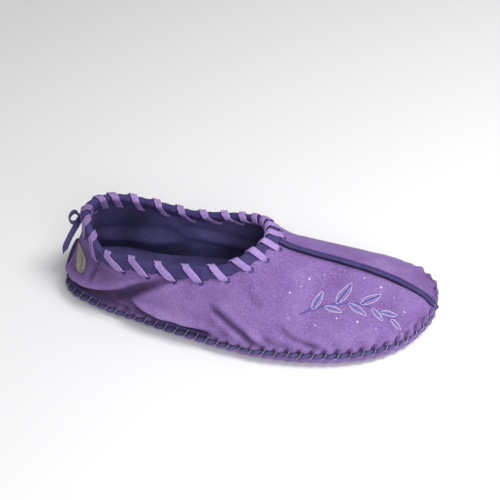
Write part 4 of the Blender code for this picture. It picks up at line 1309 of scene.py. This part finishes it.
def strip_rings():
    """The folded strip's section, carried along the seam, with a groove beside its middle and slight
    waves. It swells before its end and closes there."""
    along = np.linspace(0, 1, len(strip_line))
    closing = smooth_step((along - 0.978) / 0.012)
    half = 2.1 + 0.5 * smooth_step((along - 0.1) / 0.7) + 0.14 * slow_noise(strip_line, 16.0, 71)
    half *= 1 + 0.22 * smooth_step((along - 0.9) / 0.07)
    half *= 1 - 0.7 * closing
    high = 1 + 0.09 * slow_noise(strip_line, 9.0, 73)
    high *= 1 - 0.3 * closing
    sway = 0.3 * slow_noise(strip_line, 45.0, 74)
    side = strip_side[:, None] * (STRIP_OUTLINE[None, :, :1] * half[:, None, None] + sway[:, None, None])
    up = strip_up[:, None] * (STRIP_OUTLINE[None, :, 1:] * high[:, None, None] + 0.1)
    return strip_line[:, None] + side + up


face_out(swept_piece("middle_strip", strip_rings(), TRIM_LOOK, ["front_welt"],
                     shade_and_wear=np.tile(STRIP_LIGHT_AND_SHADE, (len(strip_line), 1))))

# %% The heel seam's strip
HEEL_COUNT = 90
WHIP_STEP = 4.6
WHIP_HALF = 2.9
HEEL_BOW = 0.035
heel_v = np.linspace(0.01, 0.56, HEEL_COUNT)
heel_spine = wall(OUTER, np.zeros(HEEL_COUNT), heel_v)
heel_away = unit(np.cross(unit(np.gradient(heel_spine, axis=0)), np.array([0.0, 1.0, 0.0])))
heel_away *= -np.sign(heel_away[:, :1])
heel_rise = lengths_along(heel_spine)


def heel_rings():
    """A lumpy strip, whose lumps stand between whip stitches 4.6 mm apart."""
    swell = np.abs(np.sin(math.pi * heel_rise / WHIP_STEP)) ** 0.7
    ends = smooth_step(np.minimum(heel_v + 0.04, 0.59 - heel_v) / 0.08)
    angle = np.linspace(math.pi * 1.06, -math.pi * 0.06, 12)
    wide = (2.0 + 0.6 * swell) * (0.5 + 0.5 * ends)
    high = (1.45 + 0.75 * swell) * (0.35 + 0.65 * ends) + 0.2 * slow_noise(heel_spine, 7.0, 81)
    across = np.cos(angle)[None] * wide[:, None]
    away = np.sin(angle)[None] * high[:, None] + 0.35 + 0.9 * bell(heel_v, 0.16)[:, None]
    rings = heel_spine[:, None] + heel_away[:, None] * away[..., None]
    rings[..., 1] += across
    rings[..., 0] += HEEL_BOW * across**2
    return rings


face_out(swept_piece("heel_strip", heel_rings(), TRIM_LOOK, ["heel_welt"]))


def whip_paths():
    """Stitches over the heel's strip, each a slanting arch from one side of it to the other."""
    numbers = np.arange(HEEL_COUNT)
    place = np.interp(np.arange(1, int(heel_rise[-1] / WHIP_STEP)) * WHIP_STEP, heel_rise, numbers)
    base, away = (read_line(place, numbers, line) for line in (heel_spine, heel_away))
    angle = np.linspace(math.pi * 1.12, -math.pi * 0.12, 16)
    paths = base[:, None] + away[:, None] * (np.sin(angle) * 2.0 + 0.35)[None, :, None]
    paths[..., 1] += np.cos(angle) * WHIP_HALF
    paths[..., 2] += np.cos(angle) * -1.0
    paths[..., 0] += HEEL_BOW * (np.cos(angle) * WHIP_HALF) ** 2
    return paths, away[:, None]


swept_piece("heel_stitches", sweep(*whip_paths(), rounded(0.55, 0.8, 1.0, 6)), TRIM_LOOK)

# %% [markdown]
# ## The binding and the lace over it
# A band of suede is folded over the collar. A flat lace holds it: out of each hole, slantwise over the
# edge, down the lining and out of the next hole. The lace is soft, so it lies close and rounds the
# fold. Its path is a list of stops in the collar's coordinates, since a lace that follows the wall by
# formula cannot cut into it, as one drawn by eye would.

# %% The binding
BIND_DEEP = 0.88
BIND_FLAT = 0.87
BIND_COUNT = 720
bind_u = np.arange(BIND_COUNT) / BIND_COUNT * COLLAR_LONG
# down from the collar's edge, and out from the wall's outside
BIND_OUTLINE = np.array([
    (7.7, 0.95), (7.0, 1.55), (5.6, 1.62), (4.2, 1.66), (2.8, 1.75), (1.4, 1.8), (0.2, 1.72),
    (-0.8, 1.25), (-1.4, 0.4), (-1.6, -0.95), (-1.4, -2.3), (-0.8, -3.15), (0.2, -3.62), (1.4, -3.7),
    (2.8, -3.65), (4.2, -3.56), (5.6, -3.5), (6.5, -3.15), (6.4, -2.5), (5.0, -2.3), (3.0, -2.3),
    (1.0, -2.2), (-0.1, -1.6), (-0.2, -0.95), (-0.1, -0.3), (1.0, 0.35), (3.0, 0.42), (5.0, 0.42),
    (7.0, 0.42),
])


def crossing_share():
    """How near each place along the collar is to a crossing of the lace: 1 under it."""
    gap = np.abs(bind_u[:, None] - np.mod(WRAP_PLACES, COLLAR_LONG)[None])
    return bell(np.minimum(gap, COLLAR_LONG - gap).min(axis=1), 2.6)


def binding_rings():
    """The folded band's section along the collar. Its lower edge wanders and stands off the leather a
    little, and the lace presses a waist into the fold at each crossing."""
    middle = -UPPER_WALL / 2
    down, out = (np.tile(BIND_OUTLINE[:, k], (BIND_COUNT, 1)) for k in (0, 1))
    down *= BIND_DEEP
    out = (out + UPPER_WALL / 2) * BIND_FLAT - UPPER_WALL / 2
    line = by_collar(bind_u, 4.0, 0.0)
    waves = ((15.0, 91), (5.0, 92), (2.2, 96), (12.0, 93), (8.0, 94))
    wander, fray, crumbs, lift, swell = (slow_noise(line, *wave)[:, None] for wave in waves)
    edge = np.clip(down / 7.0, 0, 1) ** 3
    down += edge * (wander + 0.7 * fray + 0.3 * crumbs) * 0.85
    out += np.where(out > 0, 1, -1) * edge * np.maximum(lift, -0.2) * 0.7
    pressed = crossing_share()[:, None]
    out = middle + (out - middle) * (1 + bell(down - 0.3, 3.0) * (0.1 - 0.2 * pressed))
    down += np.where(down < 0, 0.35 * pressed, 0)
    out += np.where(out > 0.5, 1, np.where(out < -2.5, -1, 0)) * (0.18 * swell)
    return by_collar(bind_u[:, None], down, out)


swept_piece("folded_binding", binding_rings(), TRIM_LOOK, ["collar_binding"], loop=True)

# %% The lace
LACE_WIDE = 4.7
LACE_THICK = 1.0
LACE_OUT = 1.42 + LACE_THICK / 2
LACE_IN = -UPPER_WALL - LACE_OUT
LAST_SLANT = 4.0
LEAN_MOST = 1.9
LEAN_SHARE = 0.3
# share of the way along to the hole, down (from the hole where it is marked so), out, narrowing
TO_HOLE = ((0.24, 1.6, 0, LACE_OUT + 0.15, 0.0), (0.5, 4.2, 0, LACE_OUT, 0.0),
           (0.78, -2.4, 1, LACE_OUT - 0.2, 0.12), (0.92, -1.0, 1, 1.0, 0.4), (0.97, -0.2, 1, -0.5, 0.8),
           (1.0, -0.1, 1, -1.9, 0.8))
TO_EDGE = ((0.02, -0.4, 1, -UPPER_WALL - 1.1, 0.25), (0.2, -1.8, 1, LACE_IN + 0.1, 0.1),
           (0.5, 4.4, 0, LACE_IN, 0.0), (0.78, 1.8, 0, LACE_IN - 0.2, 0.0))


def fold_stops(start, lean, over):
    """The five stops of a crossing over the fold, from the lining's side to the outside."""
    middle = -UPPER_WALL / 2
    return [(start - lean, -0.9, -UPPER_WALL - 1.9, 0.0),
            (start - 0.5 * lean, -over + 0.1, middle - 1.1, 0.0),
            (start, -over - 0.1, middle, 0.0),
            (start + 0.5 * lean, -over + 0.1, middle + 1.1, 0.0),
            (start + lean, -0.9, 1.9, 0.0)]


def lace_rings():
    """One path over and over the binding. It goes across the fold at a slant, and gets narrower in each
    hole. Near the heel the lace is made darker."""
    first = WRAP_PLACES[0]
    stops = [(first - 5.0, 7.4, LACE_IN - 0.1, 0.1), (first - 3.6, 4.4, LACE_IN, 0.0),
             (first - 2.6, 1.8, LACE_IN - 0.2, 0.0)]
    slants = np.append(WRAP_SLANTS, LAST_SLANT)
    leans = np.minimum(LEAN_MOST, LEAN_SHARE * slants)
    over = LACE_OUT + 0.1
    for k in range(WRAP_COUNT - 1):
        start, slant, lean = WRAP_PLACES[k], slants[k], leans[k]
        stops += fold_stops(start, lean, over)
        hole = start + slant
        deep = float(hole_deep(hole))
        on_to_edge = WRAP_PLACES[k + 1] - leans[k + 1] - hole
        ways = ((start + lean, slant - lean, TO_HOLE), (hole, on_to_edge, TO_EDGE))
        for begin, run, table in ways:
            for share, down, from_hole, out, narrow in table:
                stops.append((begin + share * run, down + from_hole * deep, out, narrow))
    start, lean = WRAP_PLACES[-1], leans[-1]
    stops += fold_stops(start, lean, over)
    stops += [(start + lean + 1.0, 1.6, over, 0.0), (start + lean + 2.0, 4.0, over - 0.2, 0.2)]
    u, down, out, narrow = through(stops, len(stops) * 5).T
    path = by_collar(u, down, out)
    narrow = np.clip(narrow, 0, 1)
    scale = np.stack([1 - 0.36 * narrow + 0.04 * slow_noise(path, 14.0, 95), 1 + 0.5 * narrow], -1)
    section = rounded(LACE_WIDE, LACE_THICK, 0.55, 14)
    from_heel = np.minimum(u, COLLAR_LONG - u)
    # darker towards the heel, from about 58 mm away
    heel_darkening = -0.65 * smooth_step((58 - from_heel) / 50)
    return sweep(path, along_collar(u), section, scale), np.repeat(heel_darkening[:, None], len(section), axis=1)


lace_points, lace_heel_darkening = lace_rings()
swept_piece("wound_lace", lace_points, LACE_LOOK, ["collar_lace"], shade_and_wear=lace_heel_darkening)

# %% [markdown]
# ## The bow behind the heel
# The lace's two ends leave the collar at the heel and are tied in a small bow on the inner side. Each
# end makes one loop, goes back through the knot and hangs down as a tail, so loop and tail are one
# cord. A simulated cord would fall flat. Stiff leather keeps its loops, so the path is given point by point.

# %% Knot
KNOT_U = COLLAR_LONG - 10.5
KNOT = by_collar(KNOT_U, 13.5, 3.0)
KNOT_HALF = np.array([2.4, 3.7, 3.2])
KNOT_CAP = 0.04
# the way through each band that crosses on the knot, its height and its half width
KNOT_BANDS = (((0.25, 0.75, 0.62), 0.2, 0.42), ((0.2, -0.78, 0.6), 0.16, 0.36))


def knot_points():
    """A lump with two bands of lace crossing on it: an ellipsoid whose radius swells along two slanted
    rings."""
    round_z = np.linspace(0, math.tau, 57)[:-1]
    a, b = np.meshgrid(round_z, np.linspace(KNOT_CAP, math.pi - KNOT_CAP, 34), indexing="ij")
    way = np.stack([np.sin(b) * np.cos(a), np.sin(b) * np.sin(a), np.cos(b)], -1)
    swell = 0.9
    for band, high, half in KNOT_BANDS:
        swell = swell + high * np.exp(-((np.abs(way @ unit(np.array(band))) / half) ** 4))
    return way * swell[..., None] * KNOT_HALF + KNOT


knot_grid = knot_points()
knot_index = np.arange(knot_grid[..., 0].size).reshape(knot_grid.shape[:2])
knot_faces = [grid_quads(np.concatenate([knot_index, knot_index[:1]])), knot_index[:, 0][None, :],
              knot_index[:, -1][None, ::-1]]
bow_knot = make_piece("tied_knot", knot_grid.reshape(-1, 3), knot_faces, BOW_LOOK,
                      ["bow_knot"])
face_out(bow_knot)

# %% Bow
BOW_WIDE = 4.2
BOW_THICK = 1.15
BOW_SAMPLES = 90
BOW_TIP = 0.06
UP_WAY = (0.12, -0.2, 0.95)
TAIL_WAY = (0.93, 0.36, 0.0)


def behind(places):
    """Points behind the knot, down and out, on the inner side's wall."""
    back, down, out = np.array(places).T
    return by_collar(KNOT_U - back, down, out)


def bow_cord(name, path, ways, nodes):
    """A flat cord on its path. Its end is cut to a blunt point, and the leather twists a little."""
    line = through(path, BOW_SAMPLES)
    share = np.linspace(0, 1, BOW_SAMPLES)
    wide = 1 + 0.05 * slow_noise(line, 11.0, 101) - 0.75 * smooth_step((share - 1 + BOW_TIP) / BOW_TIP)
    wide *= 0.75 + 0.25 * smooth_step(share / 0.06)
    scale = np.stack([wide, np.ones(BOW_SAMPLES)], -1)
    rings = sweep(line, unit(through(ways, BOW_SAMPLES)), rounded(BOW_WIDE, BOW_THICK, 0.5, 14), scale)
    made = swept_piece(name, rings, BOW_LOOK, nodes)
    face_out(made)


bow_cord(
    "bow_lateral",
    [(12.9, 7.2, 48.4), (11.8, 4.1, 48.2), (10.2, 1.6, 48.6), (8.0, 1.4, 49.2), (5.9, 3.8, 49.8),
     (5.3, 7.8, 50.2), (6.3, 11.0, 50.2), (8.0, 11.6, 49.4), (9.4, 10.6, 48.6), (10.6, 9.4, 47.0),
     (9.6, 8.0, 44.0), (7.0, 5.4, 39.6), (3.4, 3.2, 33.6), (0.6, 0.6, 27.8), (-1.6, -2.0, 22.2)],
    [UP_WAY] * 9 + [(0.5, 0.1, 0.6)] + [TAIL_WAY] * 5,
    ["bow_loop_lateral", "bow_tail_lateral"])
loop_way = unit(by_collar(KNOT_U - 10, 6, 0) - by_collar(KNOT_U - 10, 2, 0))
tail_way = unit(by_collar(KNOT_U, 0, 0) - by_collar(KNOT_U - 8, 0, 0))
bow_cord(
    "bow_medial",
    behind([(1.6, 13.2, 3.0), (3.7, 13.2, 3.4), (8.0, 13.0, 3.8), (12.0, 14.6, 4.0), (14.2, 18.6, 4.0),
            (12.6, 22.6, 3.8), (9.0, 22.2, 3.6), (6.4, 19.0, 3.4), (3.4, 15.9, 3.4), (1.6, 15.6, 2.8),
            (1.2, 17.8, 2.4), (4.0, 22.6, 1.4), (6.6, 28.6, 1.9), (8.6, 34.6, 2.8), (10.0, 40.0, 3.8)]),
    [loop_way] * 9 + [unit(loop_way + tail_way)] + [tail_way] * 5,
    ["bow_loop_medial", "bow_tail_medial"])

# %% The tied end inside the heel
# along the collar, down from its edge, and in from the lining's face
TIE_PLACES = ((-1.0, 7.5, 0.6), (-2.5, 11.0, 0.9), (-6.5, 13.6, 1.1), (-11.5, 13.0, 1.3), (-14.5, 9.6, 1.6),
              (-14.0, 6.8, 2.6))
tie_u, tie_down, tie_deep = through(TIE_PLACES, 48).T
tie_path = by_collar(tie_u, tie_down, -UPPER_WALL - tie_deep)
tie_run = unit(np.gradient(tie_path, axis=0))
tie_in = by_collar(tie_u, tie_down, -UPPER_WALL - tie_deep - 1.0) - tie_path
tie_rings = sweep(tie_path, np.cross(tie_in, tie_run), rounded(3.6, 1.0, 0.55, 12))
swept_piece("inner_tie", tie_rings, BOW_LOOK)

# %% [markdown]
# ## The tag at the heel
# A small leaf of stiff pale leather is sewn beside the heel seam. It is left bare, apart from its
# veins. A flat plate would stand off the round heel, so each of its points is laid on the leather.

# %% Tag
TAG_LONG = 21.5
TAG_FOOT = np.array([19.8, -20.0, 22.3])
TAG_UP = np.array([-0.25, 0.73, 0.63])
TAG_ACROSS = unit(np.array([0.8, -0.27, 0.53]))
TAG_RISES = (0, 1.0, 2.5, 6, 10, 14, 18, 20.5, TAG_LONG)
TAG_HALVES = (0.8, 2.8, 4.4, 5.9, 5.9, 4.6, 2.8, 1.3, 0.4)
tag_rise = np.linspace(0, TAG_LONG, 60)[:, None]
tag_half = np.interp(tag_rise, TAG_RISES, TAG_HALVES)
tag_middle = TAG_FOOT + tag_rise * TAG_UP


def tag_rings():
    """The leaf's upper surface, then back along its lower one: the nearest places on the leather, lifted
    by the leaf's own thickness. Its toe edge is a little torn."""
    share = np.linspace(-1, 1, 25)
    torn = 0.35 * np.sin(2.3 * tag_rise) + 0.3 * np.sin(5.1 * tag_rise + 1.0) - 0.2
    reach = share * tag_half + torn * np.clip(share, 0, 1) ** 4 * (tag_half > 2)
    foot, way = on_skin(tag_middle[:, None] + TAG_ACROSS * (reach + 0.9)[..., None])
    vein = 0.35 * bell(share, 0.09)
    veins = 0.12 * np.cos(9 * np.abs(share) + 1.1 * tag_rise) * np.clip(1 - np.abs(share), 0, 1)
    edge = 0.45 * np.clip(1 - np.abs(share) ** 6, 0, 1)
    above = foot + way * (0.75 + edge - vein + veins)[..., None]
    return np.concatenate([above, (foot + way * 0.15)[:, ::-1]], axis=1)


face_out(swept_piece("leaf_tag", tag_rings(), TAG_LOOK, ["heel_tag"]))

# %% [markdown]
# ## A painted sprig
# The outer half of the toe carries a small hand-painted figure. Here it is a plain sprig: a bent stem
# with leaves, each filled by a brush stroke in dark blue and drawn round with a fine pearly line. It
# could be a mask in the material, but thin films of paint on the skin keep crisp edges from close by.

# %% Laying strokes on the leather
SPRIG_SIZE = 1.1
STROKE_COUNT = 24
STROKE_SHARE = 0.42
OUTLINE_WIDE = 0.42
VEIN_WIDE = 0.26
STEM_COUNT = 60
sprig_place, sprig_up = on_wall(wall(OUTER, np.array(9.2), np.array(0.62)))
SPRIG_WAY = np.array([1.0, 0.3, -0.1])
SPRIG_ALONG = unit(SPRIG_WAY - sprig_up * (SPRIG_WAY @ sprig_up))
SPRIG_CLIMB = np.cross(sprig_up, SPRIG_ALONG)
print("the sprig's middle, in mm:", np.round(sprig_place, 1))
# a stroke's section: across, as a share of its width, and up in mm
STROKE_RING = np.array([(0.5, -0.12), (0.5, 0.03), (0.25, 0.1), (-0.25, 0.1), (-0.5, 0.03), (-0.5, -0.12)])


def on_leather(flat, lift):
    """Drawing points (along, up the side) in mm, laid on the skin from above, with their ways out."""
    start = sprig_place + SPRIG_SIZE * (flat[..., :1] * SPRIG_ALONG + flat[..., 1:] * SPRIG_CLIMB)
    foot, way = on_skin(start)
    return foot + way * lift, way


def strokes(name, lines, widths, lift, look):
    """Brush strokes as thin strips: lines is (strokes, points, 2), and widths are in mm."""
    path, way = on_leather(lines, lift)
    across = np.cross(way, unit(np.gradient(path, axis=-2)))
    widths = np.broadcast_to(widths, lines.shape[:2])
    swept_piece(name, sweep(path, across, STROKE_RING, np.stack([widths, np.ones_like(widths)], -1)), look)


# %% The sprig
STEM = through([(-31, -11), (-20, -6.5), (-8, -3.5), (4, -3), (15, -6), (24, -11.5)], STEM_COUNT)
# where on the stem, which side, length, lean, width
LEAVES = ((0.16, 1, 13.0, 0.85, 4.2), (0.28, -1, 10.5, 0.75, 3.6), (0.40, 1, 17.0, 0.95, 5.2),
          (0.52, -1, 12.0, 0.8, 4.0), (0.64, 1, 15.0, 0.85, 4.8), (0.76, -1, 9.5, 0.7, 3.4),
          (0.86, 1, 10.5, 0.6, 3.6), (1.0, 1, 9.0, 0.05, 3.2))


def quarter_turn(way):
    """A flat direction turned to its left."""
    return np.array([-way[1], way[0]])


def leaf_lines():
    """For each leaf its middle line, its outline of two arcs, and two veins."""
    middles, outlines, veins = [], [], []
    share = np.linspace(0, 1, STROKE_COUNT)
    for place, side, long, lean, wide in LEAVES:
        k = min(int(place * (STEM_COUNT - 1)), STEM_COUNT - 2)
        root, run = STEM[k], unit(STEM[k + 1] - STEM[k])
        way = unit(run * math.cos(lean) + quarter_turn(run) * side * math.sin(lean))
        cross = quarter_turn(way)
        bend = 0.16 * long * side * np.sin(share * math.pi / 2) ** 2
        middle = root + way * (share * long)[:, None] - cross * bend[:, None] * 0.8
        half = wide / 2 * np.sin(math.pi * share**0.85) ** 0.8
        middles.append(middle)
        for lines, reach in ((outlines, half), (veins, half * 0.45)):
            lines += [middle + cross * reach[:, None], middle - cross * reach[:, None]]
    return np.array(middles), np.array(outlines), np.array(veins)


middles, outlines, veins = leaf_lines()
taper = np.sin(math.pi * np.linspace(0.02, 0.98, STROKE_COUNT)) ** 0.7
leaf_wide = np.array([wide * STROKE_SHARE for *_, wide in LEAVES])[:, None] * taper
stem_wide = np.interp(np.linspace(0, 1, STEM_COUNT), (0, 0.15, 1), (0.5, 1.5, 0.7))
strokes("sprig_leaves", middles, leaf_wide, 0.13, INK_LOOK)
strokes("sprig_stem", STEM[None], stem_wide, 0.14, INK_LOOK)
strokes("sprig_outlines", outlines, OUTLINE_WIDE, 0.17, PEARL_LOOK)
strokes("sprig_veins", veins[:, 3:-4], VEIN_WIDE, 0.17, PEARL_LOOK)

# %% Small studs beside the sprig
# along, up the side, and radius
STUDS = np.array([(-36, 2, 0.7), (-29, 6.5, 0.5), (-24, 11.5, 0.85), (-15, 14.5, 0.5), (-9, -12.5, 0.6),
                  (3, -14, 0.8), (9, 14.5, 0.55), (19, 9.5, 0.9), (27, 3.5, 0.55), (14, -17.5, 0.5),
                  (33, -5, 0.75), (30, -19, 0.55), (-22, -18, 0.6), (-38, -14, 0.5)])
# share of the radius, and height
DOME = np.array([(1.0, -0.15), (1.0, 0.1), (0.75, 0.3), (0.35, 0.4)])


def stud_points():
    """Small round domes, each a fan of rings on the leather."""
    foot, way = on_leather(STUDS[:, :2], 0.0)
    level = unit(np.cross(way, SPRIG_ALONG))
    other = np.cross(way, level)
    angle = np.linspace(0, math.tau, 13)[:-1]
    ring = np.cos(angle)[None, :, None] * level[:, None] + np.sin(angle)[None, :, None] * other[:, None]
    size = STUDS[:, 2][:, None, None, None]
    return (foot[:, None, None] + ring[:, None] * DOME[None, :, :1, None] * size
            + way[:, None, None] * DOME[None, :, 1:, None] * np.sqrt(size))


swept_piece("pearl_studs", stud_points(), PEARL_LOOK)
